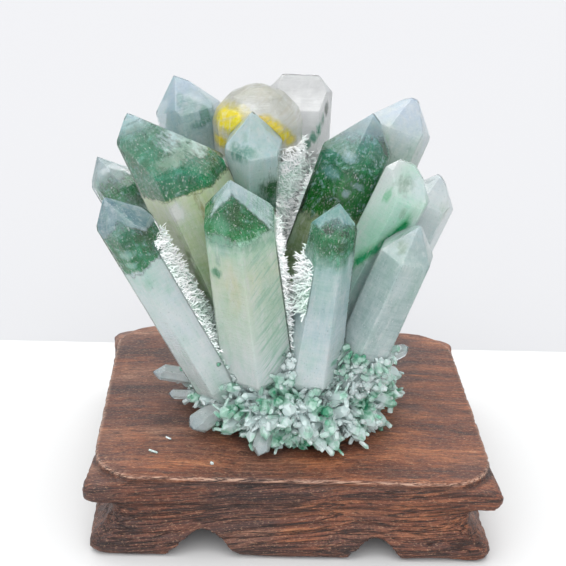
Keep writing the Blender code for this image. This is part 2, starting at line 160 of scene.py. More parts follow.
def carved_hardwood():
    """Waxed open-pored hardwood: dark pores and streaks along the grain, tool furrows and the crease under the rim
    darkened by painted shade, lighter chips on the rim's edge that are partly a painted highlight, a soft sheen.
    """
    material, tree, shader = new_material("waxed_carved_hardwood")
    place = add(tree, "ShaderNodeTexCoord", out="Object")
    marks = add(tree, "ShaderNodeAttribute", out="Vector", attribute_name="carving")
    side, crease, edge = add(tree, "ShaderNodeSeparateXYZ", {0: marks}).node.outputs
    grain = add(tree, "ShaderNodeMapping", {"Vector": place, "Rotation": (0.0, GRAIN_RISE, 0.0),
                                            "Scale": (1000.0, 1000.0, 1000.0)})
    bend = add(tree, "ShaderNodeTexNoise", {"Vector": grain, "Scale": 0.02, "Detail": 1.0}, out=1)
    bend = add(tree, "ShaderNodeVectorMath", {0: bend, 1: (0.5, 0.5, 0.5)}, operation="SUBTRACT")
    bend = add(tree, "ShaderNodeVectorMath", {0: bend, "Scale": 9.0}, operation="SCALE")
    grain = add(tree, "ShaderNodeVectorMath", {0: grain, 1: bend}, operation="ADD")
    figure = add(tree, "ShaderNodeMapping", {"Vector": grain, "Scale": (0.010, 0.10, 0.13)})
    figure = add(tree, "ShaderNodeTexNoise", {"Vector": figure, "Scale": 1.0, "Detail": 5.0, "Roughness": 0.6})
    streak = add(tree, "ShaderNodeMapping", {"Vector": grain, "Scale": (0.035, 0.8, 0.9)})
    streak = add(tree, "ShaderNodeTexNoise", {"Vector": streak, "Scale": 1.0, "Detail": 5.0, "Roughness": 0.7})
    pore = add(tree, "ShaderNodeMapping", {"Vector": grain, "Scale": (0.22, 2.4, 2.4)})
    pore = add(tree, "ShaderNodeTexNoise", {"Vector": pore, "Scale": 1.0, "Detail": 3.0, "Roughness": 0.65})
    furrow = add(tree, "ShaderNodeMapping", {"Vector": grain, "Scale": (0.020, 0.45, 0.70)})
    furrow = add(tree, "ShaderNodeTexNoise", {"Vector": furrow, "Scale": 1.0, "Detail": 3.0, "Roughness": 0.55})
    furrow = add(tree, "ShaderNodeMath", {0: furrow, 1: 0.5}, operation="SUBTRACT")
    furrow = add(tree, "ShaderNodeMath", {0: furrow}, operation="ABSOLUTE")
    furrow = add(tree, "ShaderNodeMapRange", {"Value": furrow, 1: 0.040, 2: 0.004})
    furrow = add(tree, "ShaderNodeMath", {0: furrow, 1: side}, operation="MULTIPLY")
    mix = add(tree, "ShaderNodeMath", {0: figure, 1: 0.55}, operation="MULTIPLY")
    mix = add(tree, "ShaderNodeMath", {0: streak, 1: 0.45, 2: mix}, operation="MULTIPLY_ADD")
    colour = add(tree, "ShaderNodeValToRGB", {0: mix}, stops=(
        (0.34, linear("#1f100e")), (0.43, linear("#45271f")), (0.51, linear("#643b2b")),
        (0.59, linear("#87583f")), (0.70, linear("#b28768"))))
    tone = add(tree, "ShaderNodeTexNoise", {"Vector": grain, "Scale": 0.035, "Detail": 3.0})
    along = add(tree, "ShaderNodeSeparateXYZ", {0: grain}).node.outputs[0]
    tone = add(tree, "ShaderNodeMath", {0: along, 1: 0.0015, 2: tone}, operation="MULTIPLY_ADD")
    tone = add(tree, "ShaderNodeValToRGB", {0: tone}, stops=(
        (0.40, (0.84, 0.86, 1.0, 1.0)), (0.62, (1.28, 1.05, 0.82, 1.0))))
    colour = add(tree, "ShaderNodeMix", {"Factor": 1.0, 6: colour, 7: tone},
                 out=2, data_type="RGBA", blend_type="MULTIPLY")
    dark = add(tree, "ShaderNodeValToRGB", {0: pore}, stops=(
        (0.36, (0.10, 0.08, 0.08, 1.0)), (0.46, (1.0, 1.0, 1.0, 1.0)), (0.60, (1.0, 1.0, 1.0, 1.0)),
        (0.70, (1.7, 1.6, 1.5, 1.0))))
    colour = add(tree, "ShaderNodeMix", {"Factor": 0.85, 6: colour, 7: dark},
                 out=2, data_type="RGBA", blend_type="MULTIPLY")
    speck = add(tree, "ShaderNodeMapping", {"Vector": grain, "Scale": (1.1, 2.6, 2.6)})
    speck = add(tree, "ShaderNodeTexNoise", {"Vector": speck, "Scale": 1.0, "Detail": 2.0, "Roughness": 0.7})
    bright = add(tree, "ShaderNodeMapRange", {"Value": speck, 1: 0.56, 2: 0.72, 3: 0.0, 4: 0.55})
    colour = add(tree, "ShaderNodeMix", {0: bright, 6: colour, 7: linear("#c39a7a")}, out=2, data_type="RGBA")
    dull = add(tree, "ShaderNodeMapRange", {"Value": speck, 1: 0.44, 2: 0.30, 3: 0.0, 4: 0.6})
    colour = add(tree, "ShaderNodeMix", {0: dull, 6: colour, 7: linear("#2a1812")}, out=2, data_type="RGBA")
    # Lighter chips along the rim's edge: partly worn wood, partly a painted highlight on the edge.
    edge_wear_and_highlight = add(tree, "ShaderNodeMapRange", {"Value": pore, 1: 0.44, 2: 0.56, 3: 0.0, 4: 0.85})
    edge_wear_and_highlight = add(tree, "ShaderNodeMath", {0: edge_wear_and_highlight, 1: edge}, operation="MULTIPLY")
    colour = add(tree, "ShaderNodeMix", {0: edge_wear_and_highlight, 6: colour, 7: linear("#d9b49c")}, out=2, data_type="RGBA")
    # Painted shade: the tool furrows on the sides and the crease below the rim are darkened to near black as if
    # shadowed; the same mask also sinks them in the bump.
    hollow_depth_and_shade = add(tree, "ShaderNodeMath", {0: furrow, 1: crease}, operation="MAXIMUM")
    hollow_depth_and_shade = add(tree, "ShaderNodeMath", {0: hollow_depth_and_shade, 1: 0.85}, operation="MULTIPLY")
    colour = add(tree, "ShaderNodeMix", {0: hollow_depth_and_shade, 6: colour, 7: linear("#170c0a")}, out=2, data_type="RGBA")
    tree.links.new(colour, shader.inputs["Base Color"])
    gloss = add(tree, "ShaderNodeMapRange", {"Value": streak, 1: 0.3, 2: 0.7, 3: 0.40, 4: 0.62})
    tree.links.new(gloss, shader.inputs["Roughness"])
    height = add(tree, "ShaderNodeMath", {0: streak, 1: 0.8, 2: pore}, operation="MULTIPLY_ADD")
    height = add(tree, "ShaderNodeMath", {0: hollow_depth_and_shade, 1: -0.9, 2: height}, operation="MULTIPLY_ADD")
    bump = add(tree, "ShaderNodeBump", {"Strength": 0.9, "Distance": 0.0005, "Height": height})
    tree.links.new(bump, shader.inputs["Normal"])
    shader.inputs["IOR"].default_value = 1.5
    shader.inputs["Coat Weight"].default_value = 0.1
    shader.inputs["Coat Roughness"].default_value = 0.35
    return material


stand = carved_stand()
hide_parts("stand")
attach(stand, "root")

# The large crystals: clear quartz that grew over green chlorite. Each has six flat sides, flat end
# faces at 38.2 degrees to its long axis, a clear skin, and older crystals shut up inside it.
END_FACE_ANGLE = math.radians(38.2)
ROOT_FACE_ANGLE = math.radians(24.0)
ROOT_FACE_SHARE = 0.3
SIDES = 6
EDGE_WEAR = 0.22 * MM

# Each crystal, in millimetres: the middle of its root and of its end, its width across the flats
# near the end, the share of that width left at the root, its turn about its own axis in degrees,
# and how far each of its end faces stands out, from the front side round to the right.
CRYSTALS = {
    "left_tall": ((-6, -6, 38), (-44, -6, 122), 24, 1.0, 8, (4, -2, -1, 8, 15, 14)),
    "left_back": ((-12, 8, 40), (-39, 26, 127), 19, 0.9, 20, (1, 2, 0, 3, 4, 3)),
    "left_far": ((-22, 0, 38), (-61, 8, 104), 14, 0.9, 0, (1, 0, 2, 5, 6, 4)),
    "left_front": ((-21, -19, 38), (-56, -24, 104), 14, 1.0, 15, (1, -1, 1, 3, 4, 3)),
    "front_wide": ((-10, -15, 38), (-21, -32, 113), 19, 1.2, 28, (1, 0, 1, 3, 3, 3)),
    "front_right": ((4, -20, 38), (8, -31, 107), 11, 1.6, -8, (0, 1, 2, 3, 1, 2)),
    "dark_right": ((-6, -4, 38), (20, 8, 122), 20, 1.0, 12, (1, 4, 3, 3, 1, 0)),
    "right_back": ((3, 6, 38), (35, 24, 124), 19, 0.9, 0, (1, 3, 2, 0, 2, 1)),
    "back_tall": ((0, 16, 40), (0, 34, 128), 18, 0.9, 5, (0, 6, 6, 0, 7, 7)),
    "right_mid": ((4, -12, 38), (33, -8, 111), 16, 1.0, 10, (1, 3, 1, 2, 8, 8)),
    "right_far": ((17, -6, 38), (43, 4, 105), 15, 0.9, 0, (0, 2, 1, 3, 2, 0)),
    "right_low": ((15, -18, 38), (33, -24, 99), 15, 1.1, 15, (0, 1, 2, 3, 0, 0)),
    "middle_short": ((-13, 8, 64), (-16, -3, 124), 17, 0.7, 20, (0, 1, 2, 3, 2, 1)),
    "behind_left": ((-16, 10, 38), (-50, 32, 90), 15, 0.9, 10, (0, 1, 2, 3, 2, 1)),
    "back_left_low": ((-10, 20, 38), (-28, 50, 100), 17, 0.9, 25, (2, 1, 0, 1, 2, 3)),
    "back_low": ((2, 22, 38), (6, 54, 92), 19, 0.9, 5, (3, 2, 1, 0, 1, 2)),
    "back_right_low": ((12, 18, 38), (30, 46, 102), 16, 0.9, 15, (2, 1, 0, 2, 1, 0)),
    "behind_right": ((17, 7, 38), (42, 26, 86), 15, 0.9, 0, (1, 0, 2, 1, 0, 2)),
    "side_left": ((-29, -2, 34), (-45, -3, 37), 5, 1.0, 10, (1, 0, 0, 1, 2, 1)),
    "side_left_low": ((-29, -9, 32), (-40, -9, 32), 3, 1.0, 25, (0, 0, 1, 0, 0, 1)),
    "side_right": ((27, 2, 38), (39, 4, 45), 4, 1.0, 15, (1, 0, 1, 0, 1, 0)),
    "rim_low_front": ((-8, -27, 34), (-11, -41, 30), 5, 1.0, 20, (0, 1, 0, 1, 0, 1)),
    "rim_low_left": ((-22, -20, 34), (-32, -28, 31), 7, 1.0, 5, (1, 0, 2, 1, 0, 1)),
}


def cut_flat(bm, point, normal):
    """Cut away what lies past a plane, and close the cut with one flat face."""
    geometry = bm.verts[:] + bm.edges[:] + bm.faces[:]
    cut = bmesh.ops.bisect_plane(bm, geom=geometry, dist=0.001 * MM, plane_co=point,
                                 plane_no=normal, clear_outer=True)["geom_cut"]
    edges = [item for item in cut if isinstance(item, bmesh.types.BMEdge)]
    if len(edges) > 2:
        bmesh.ops.edgeloop_fill(bm, edges=edges)


def crystal_frame(root, tip):
    """A matrix whose Z runs from root to tip, and whose -Y faces the front."""
    axis = (tip - root).normalized()
    front = Vector((0.0, -1.0, 0.0))
    front = (front - axis * front.dot(axis)).normalized()
    rotation = Matrix((axis.cross(front), -front, axis)).transposed().to_4x4()
    return Matrix.Translation(root) @ rotation


def crystal_shape(crystal, inset=0.0, sunk=0.0, wear=0.0):
    """A crystal in its own frame with Z along it, as a bmesh; inset and sunk make the older one inside."""
    root, tip, width, root_share, turn, ends = crystal
    length = (Vector(tip) - Vector(root)).length * MM
    spare = width * MM
    radius = 0.5 * width * MM / math.cos(math.pi / SIDES)
    bm = bmesh.new()
    bmesh.ops.create_cone(bm, cap_ends=True, segments=SIDES, radius1=radius * root_share - inset,
                          radius2=radius * (1.0 + (1.0 - root_share) * spare / length) - inset,
                          depth=length + spare,
                          matrix=Matrix.Translation((0.0, 0.0, 0.5 * (length + spare))))
    half_side = math.pi / SIDES
    bmesh.ops.rotate(bm, verts=bm.verts[:],
                     matrix=Matrix.Rotation(half_side + math.radians(turn), 3, "Z"))
    for side in range(SIDES):
        angle = math.radians(turn) + side * 2.0 * half_side
        out = Vector((math.sin(angle), -math.cos(angle), 0.0))
        normal = out * math.cos(END_FACE_ANGLE)
        normal.z = math.sin(END_FACE_ANGLE)
        cut_flat(bm, Vector((0.0, 0.0, length + ends[side] * MM - inset - sunk)), normal)
        normal = out * math.cos(ROOT_FACE_ANGLE)
        normal.z = -math.sin(ROOT_FACE_ANGLE)
        cut_flat(bm, out * (ROOT_FACE_SHARE * width * MM - inset), normal)
    if wear:
        bmesh.ops.bevel(bm, geom=bm.edges[:], offset=wear, segments=2, profile=0.6, affect="EDGES")
    bmesh.ops.recalc_face_normals(bm, faces=bm.faces[:])
    return bm


def place_crystal(bm, crystal):
    """Keep each point's place in the crystal's own frame, in millimetres from its end, and set it in place."""
    root, tip = Vector(crystal[0]) * MM, Vector(crystal[1]) * MM
    own = bm.verts.layers.float_vector.new("own_place")
    for vert in bm.verts:
        vert[own] = Vector((vert.co.x, vert.co.y, (tip - root).length - vert.co.z)) / MM
    bm.transform(crystal_frame(root, tip))


def grown_quartz():
    """Clear quartz with its faces as grown: glassy, with fine growth lines across the sides."""
    material, tree, shader = new_material("clear_quartz_grown_faces")
    own = add(tree, "ShaderNodeAttribute", out="Vector", attribute_name="own_place")
    lines = add(tree, "ShaderNodeMapping", {"Vector": own, "Scale": (0.12, 0.12, 1.6)})
    lines = add(tree, "ShaderNodeTexNoise", {"Vector": lines, "Scale": 1.0, "Detail": 3.0})
    waves = add(tree, "ShaderNodeTexNoise", {"Vector": own, "Scale": 0.22, "Detail": 2.0})
    height = add(tree, "ShaderNodeMath", {0: waves, 1: 2.5, 2: lines}, operation="MULTIPLY_ADD")
    bump = add(tree, "ShaderNodeBump", {"Strength": 0.35, "Distance": 0.0006, "Height": height})
    tree.links.new(bump, shader.inputs["Normal"])
    shader.inputs["Base Color"].default_value = (1.0, 1.0, 1.0, 1.0)
    shader.inputs["Roughness"].default_value = 0.05
    shader.inputs["IOR"].default_value = 1.54
    shader.inputs["Transmission Weight"].default_value = 1.0
    out = tree.nodes["Material Output"]
    tint = add(tree, "ShaderNodeVolumeAbsorption", {"Color": linear("#d3e2e3"), "Density": 12.0})
    tree.links.new(tint, out.inputs["Volume"])
    return material


SKIN_SHINE, SKIN_CLEAR = 0.055, 0.58


def under_skin(code, cover=1.0):
    """The colour that a surface under clear quartz needs to look like the given one from outside."""
    return [min(0.95, max(0.002, (c - SKIN_SHINE) / SKIN_CLEAR)) for c in linear(code)[:3]] + [cover]


def zones(tree, own, stops, spots, slant, wander, fray, torn=0.45):
    """Colour and cover by the distance down from a crystal's end, and by spots with uneven rims."""
    parts = add(tree, "ShaderNodeSeparateXYZ", {0: own}).node.outputs
    down = add(tree, "ShaderNodeMath", {0: parts[2], 1: wander}, operation="ADD")
    down = add(tree, "ShaderNodeMath", {0: parts[0], 1: slant[0], 2: down}, operation="MULTIPLY_ADD")
    down = add(tree, "ShaderNodeMath", {0: parts[1], 1: slant[1], 2: down}, operation="MULTIPLY_ADD")
    first, last = stops[0][0], stops[-1][0]
    share = add(tree, "ShaderNodeMapRange", {"Value": down, 1: first, 2: last})
    colour = add(tree, "ShaderNodeValToRGB", {0: share}, stops=[
        ((place - first) / (last - first), under_skin(code, cover)) for place, code, cover in stops])
    cover = colour.node.outputs["Alpha"]
    for x, y, z, wide, long, code, amount in spots:
        far = add(tree, "ShaderNodeVectorMath", {0: own, 1: (x, y, z)}, operation="SUBTRACT")
        far = add(tree, "ShaderNodeVectorMath", {0: far, 1: (1.0 / wide, 0.5 / wide, 1.0 / long)},
                  operation="MULTIPLY")
        far = add(tree, "ShaderNodeVectorMath", {0: far}, out="Value", operation="LENGTH")
        far = add(tree, "ShaderNodeMath", {0: fray, 1: torn, 2: far}, operation="MULTIPLY_ADD")
        mask = add(tree, "ShaderNodeMapRange", {"Value": far, 1: 1.2, 2: 0.5, 3: 0.0, 4: amount})
        colour = add(tree, "ShaderNodeMix", {0: mask, 6: colour, 7: under_skin(code)}, out=2, data_type="RGBA")
        cover = add(tree, "ShaderNodeMath", {0: cover, 1: mask}, operation="MAXIMUM")
    return colour, cover


def chlorite_moss(name, stops, spots=(), slant=(0.0, 0.0), ragged=2.0, calm=90.0, haze=0.45, seed=0.0):
    """Green chlorite shut up in quartz: fine tufts in clumps, dark and bright, with white flecks."""
    material, tree, shader = new_material(name)
    own = add(tree, "ShaderNodeAttribute", out="Vector", attribute_name="own_place")
    drift = add(tree, "ShaderNodeVectorMath", {0: own, 1: (seed * 31.0, seed * 17.0, seed * 7.0)},
                operation="ADD")
    tuft = add(tree, "ShaderNodeMapping", {"Vector": drift, "Scale": (1.3, 1.3, 0.5)})
    tuft = add(tree, "ShaderNodeTexNoise", {"Vector": tuft, "Scale": 1.0, "Detail": 5.0, "Roughness": 0.68})
    clump = add(tree, "ShaderNodeTexNoise", {"Vector": drift, "Scale": 0.27, "Detail": 3.0})
    wander = add(tree, "ShaderNodeMapRange", {"Value": clump, 1: 0.3, 2: 0.7, 3: -ragged, 4: ragged})
    fray = add(tree, "ShaderNodeMapRange", {"Value": tuft, 1: 0.3, 2: 0.7, 3: -1.0, 4: 1.0})
    wander = add(tree, "ShaderNodeMath", {0: fray, 1: ragged, 2: wander}, operation="MULTIPLY_ADD")
    down = add(tree, "ShaderNodeSeparateXYZ", {0: own}).node.outputs[2]
    still = add(tree, "ShaderNodeMapRange", {"Value": down, 1: calm - 5.0, 2: calm, 3: 1.0, 4: 0.3})
    wander = add(tree, "ShaderNodeMath", {0: wander, 1: still}, operation="MULTIPLY")
    colour, cover = zones(tree, own, stops, spots, slant, wander, fray)
    depth = add(tree, "ShaderNodeMath", {0: clump, 1: 0.8, 2: tuft}, operation="MULTIPLY_ADD")
    depth = add(tree, "ShaderNodeMapRange", {"Value": depth, 1: 0.70, 2: 1.10, 3: 1.15, 4: 0.72})
    colour = add(tree, "ShaderNodeGamma", {"Color": colour, "Gamma": depth})
    mist = add(tree, "ShaderNodeTexNoise", {"Vector": drift, "Scale": 0.5, "Detail": 5.0, "Roughness": 0.7})
    mist = add(tree, "ShaderNodeMapRange", {"Value": mist, 1: 0.54, 2: 0.68, 3: 0.0, 4: haze})
    colour = add(tree, "ShaderNodeMix", {0: mist, 6: colour, 7: under_skin("#9dbac2")}, out=2, data_type="RGBA")
    fleck = add(tree, "ShaderNodeMapping", {"Vector": drift, "Scale": (3.2, 3.2, 1.2)})
    fleck = add(tree, "ShaderNodeTexNoise", {"Vector": fleck, "Scale": 1.0, "Detail": 2.0})
    fleck = add(tree, "ShaderNodeMapRange", {"Value": fleck, 1: 0.63, 2: 0.69, 3: 0.0, 4: 0.85})
    colour = add(tree, "ShaderNodeMix", {0: fleck, 6: colour, 7: under_skin("#dfeae6")}, out=2, data_type="RGBA")
    tree.links.new(colour, shader.inputs["Base Color"])
    edge = add(tree, "ShaderNodeMath", {0: cover, 1: -1.0, 2: 1.0}, operation="MULTIPLY_ADD")
    edge = add(tree, "ShaderNodeMath", {0: edge, 1: cover}, operation="MULTIPLY")
    holes = add(tree, "ShaderNodeMapRange", {"Value": tuft, 1: 0.35, 2: 0.65, 3: -2.4, 4: 2.4})
    cover = add(tree, "ShaderNodeMath", {0: holes, 1: edge, 2: cover}, operation="MULTIPLY_ADD", use_clamp=True)
    tree.links.new(cover, shader.inputs["Alpha"])
    shader.inputs["Roughness"].default_value = 0.8
    shader.inputs["Specular IOR Level"].default_value = 0.0
    return material


def milky_veil(name, stops, spots=(), cap=None, bands=None, slant=(0.0, 0.0), ragged=2.0, fibres=1.0,
               green=0.3, sparkle=0.6, torn=0.45, seed=0.0):
    """Milky quartz just under the skin: soft clouds, green breath, white wisps and growth stripes."""
    material, tree, shader = new_material(name)
    own = add(tree, "ShaderNodeAttribute", out="Vector", attribute_name="own_place")
    drift = add(tree, "ShaderNodeVectorMath", {0: own, 1: (seed * 31.0, seed * 17.0, seed * 7.0)},
                operation="ADD")
    cloud = add(tree, "ShaderNodeTexNoise", {"Vector": drift, "Scale": 0.16, "Detail": 5.0, "Roughness": 0.6})
    wander = add(tree, "ShaderNodeMapRange", {"Value": cloud, 1: 0.3, 2: 0.7, 3: -ragged, 4: ragged})
    wisp = add(tree, "ShaderNodeMapping", {"Vector": drift, "Scale": (0.55, 0.55, 0.2)})
    wisp = add(tree, "ShaderNodeTexNoise", {"Vector": wisp, "Scale": 1.0, "Detail": 6.0, "Roughness": 0.65})
    fray = add(tree, "ShaderNodeMapRange", {"Value": wisp, 1: 0.3, 2: 0.7, 3: -1.0, 4: 1.0})
    wander = add(tree, "ShaderNodeMath", {0: fray, 1: 0.8 * ragged, 2: wander}, operation="MULTIPLY_ADD")
    colour, cover = zones(tree, own, stops, spots, slant, wander, fray, torn)
    x, y, z = add(tree, "ShaderNodeSeparateXYZ", {0: own}).node.outputs
    if cap:
        middle, apex, left, right, code, amount = cap
        aside = add(tree, "ShaderNodeMath", {0: x, 1: -middle}, operation="ADD")
        fall = add(tree, "ShaderNodeMath", {0: aside, 1: -left}, operation="MULTIPLY")
        other = add(tree, "ShaderNodeMath", {0: aside, 1: right}, operation="MULTIPLY")
        fall = add(tree, "ShaderNodeMath", {0: fall, 1: other}, operation="MAXIMUM")
        fall = add(tree, "ShaderNodeMath", {0: fray, 1: 0.7, 2: fall}, operation="MULTIPLY_ADD")
        above = add(tree, "ShaderNodeMath", {0: fall, 1: z}, operation="SUBTRACT")
        above = add(tree, "ShaderNodeMapRange", {"Value": above, 1: -apex - 0.5, 2: -apex + 0.5, 3: 0.0, 4: amount})
        colour = add(tree, "ShaderNodeMix", {0: above, 6: colour, 7: under_skin(code)}, out=2, data_type="RGBA")
        cover = add(tree, "ShaderNodeMath", {0: cover, 1: above}, operation="MAXIMUM")
    breath = add(tree, "ShaderNodeMapping", {"Vector": drift, "Scale": (0.22, 0.22, 0.09), "Location": (9, 4, 2)})
    breath = add(tree, "ShaderNodeTexNoise", {"Vector": breath, "Scale": 1.0, "Detail": 5.0, "Roughness": 0.62})
    breath = add(tree, "ShaderNodeMapRange", {"Value": breath, 1: 0.46, 2: 0.66, 3: 0.0, 4: green})
    colour = add(tree, "ShaderNodeMix", {0: breath, 6: colour, 7: under_skin("#a3bfb0")}, out=2, data_type="RGBA")
    white = add(tree, "ShaderNodeMapRange", {"Value": wisp, 1: 0.52, 2: 0.72, 3: 0.0, 4: 0.5})
    colour = add(tree, "ShaderNodeMix", {0: white, 6: colour, 7: under_skin("#d3d9d9")}, out=2, data_type="RGBA")
    fibre = add(tree, "ShaderNodeMapping", {"Vector": drift, "Scale": (0.9, 0.9, 0.06)})
    fibre = add(tree, "ShaderNodeTexNoise", {"Vector": fibre, "Scale": 1.0, "Detail": 4.0, "Roughness": 0.6})
    stripe = add(tree, "ShaderNodeMapping", {"Vector": drift, "Scale": (0.08, 0.3, 1.1)})
    stripe = add(tree, "ShaderNodeTexNoise", {"Vector": stripe, "Scale": 1.0, "Detail": 4.0, "Roughness": 0.6})
    lines = add(tree, "ShaderNodeMath", {0: fibre, 1: fibres, 2: stripe}, operation="MULTIPLY_ADD")
    depth = add(tree, "ShaderNodeMapRange", {"Value": lines, 1: 0.3 + 0.3 * fibres, 2: 0.7 + 0.7 * fibres,
                                             3: 1.45, 4: 0.6})
    soft = add(tree, "ShaderNodeMapRange", {"Value": cloud, 1: 0.3, 2: 0.7, 3: 1.3, 4: 0.75})
    depth = add(tree, "ShaderNodeMath", {0: depth, 1: soft}, operation="MULTIPLY")
    colour = add(tree, "ShaderNodeGamma", {"Color": colour, "Gamma": depth})
    if bands:
        lean, code, amount, side = bands
        band = add(tree, "ShaderNodeMapping", {"Vector": drift, "Rotation": (0.0, lean, 0.0), "Scale": (14, 14, 0.8)},
                   vector_type="TEXTURE")
        band = add(tree, "ShaderNodeTexNoise", {"Vector": band, "Scale": 1.0, "Detail": 3.0, "Roughness": 0.7})
        band = add(tree, "ShaderNodeMapRange", {"Value": band, 1: 0.50, 2: 0.62, 3: 0.0, 4: amount})
        where = add(tree, "ShaderNodeMapRange", {"Value": x, 1: side - 1.0, 2: side + 1.5})
        band = add(tree, "ShaderNodeMath", {0: band, 1: where}, operation="MULTIPLY")
        colour = add(tree, "ShaderNodeMix", {0: band, 6: colour, 7: under_skin(code)}, out=2, data_type="RGBA")
    speck = add(tree, "ShaderNodeMapping", {"Vector": drift, "Scale": (2.6, 2.6, 1.3)})
    speck = add(tree, "ShaderNodeTexNoise", {"Vector": speck, "Scale": 1.0, "Detail": 3.0, "Roughness": 0.6})
    bright = add(tree, "ShaderNodeMapRange", {"Value": speck, 1: 0.63, 2: 0.70, 3: 0.0, 4: sparkle})
    colour = add(tree, "ShaderNodeMix", {0: bright, 6: colour, 7: under_skin("#f0f6f6")}, out=2, data_type="RGBA")
    dull = add(tree, "ShaderNodeMapRange", {"Value": speck, 1: 0.36, 2: 0.30, 3: 0.0, 4: 0.5 * sparkle})
    colour = add(tree, "ShaderNodeMix", {0: dull, 6: colour, 7: under_skin("#54706b")}, out=2, data_type="RGBA")
    tree.links.new(colour, shader.inputs["Base Color"])
    tree.links.new(cover, shader.inputs["Alpha"])
    shader.inputs["Roughness"].default_value = 0.8
    shader.inputs["Specular IOR Level"].default_value = 0.0
    return material


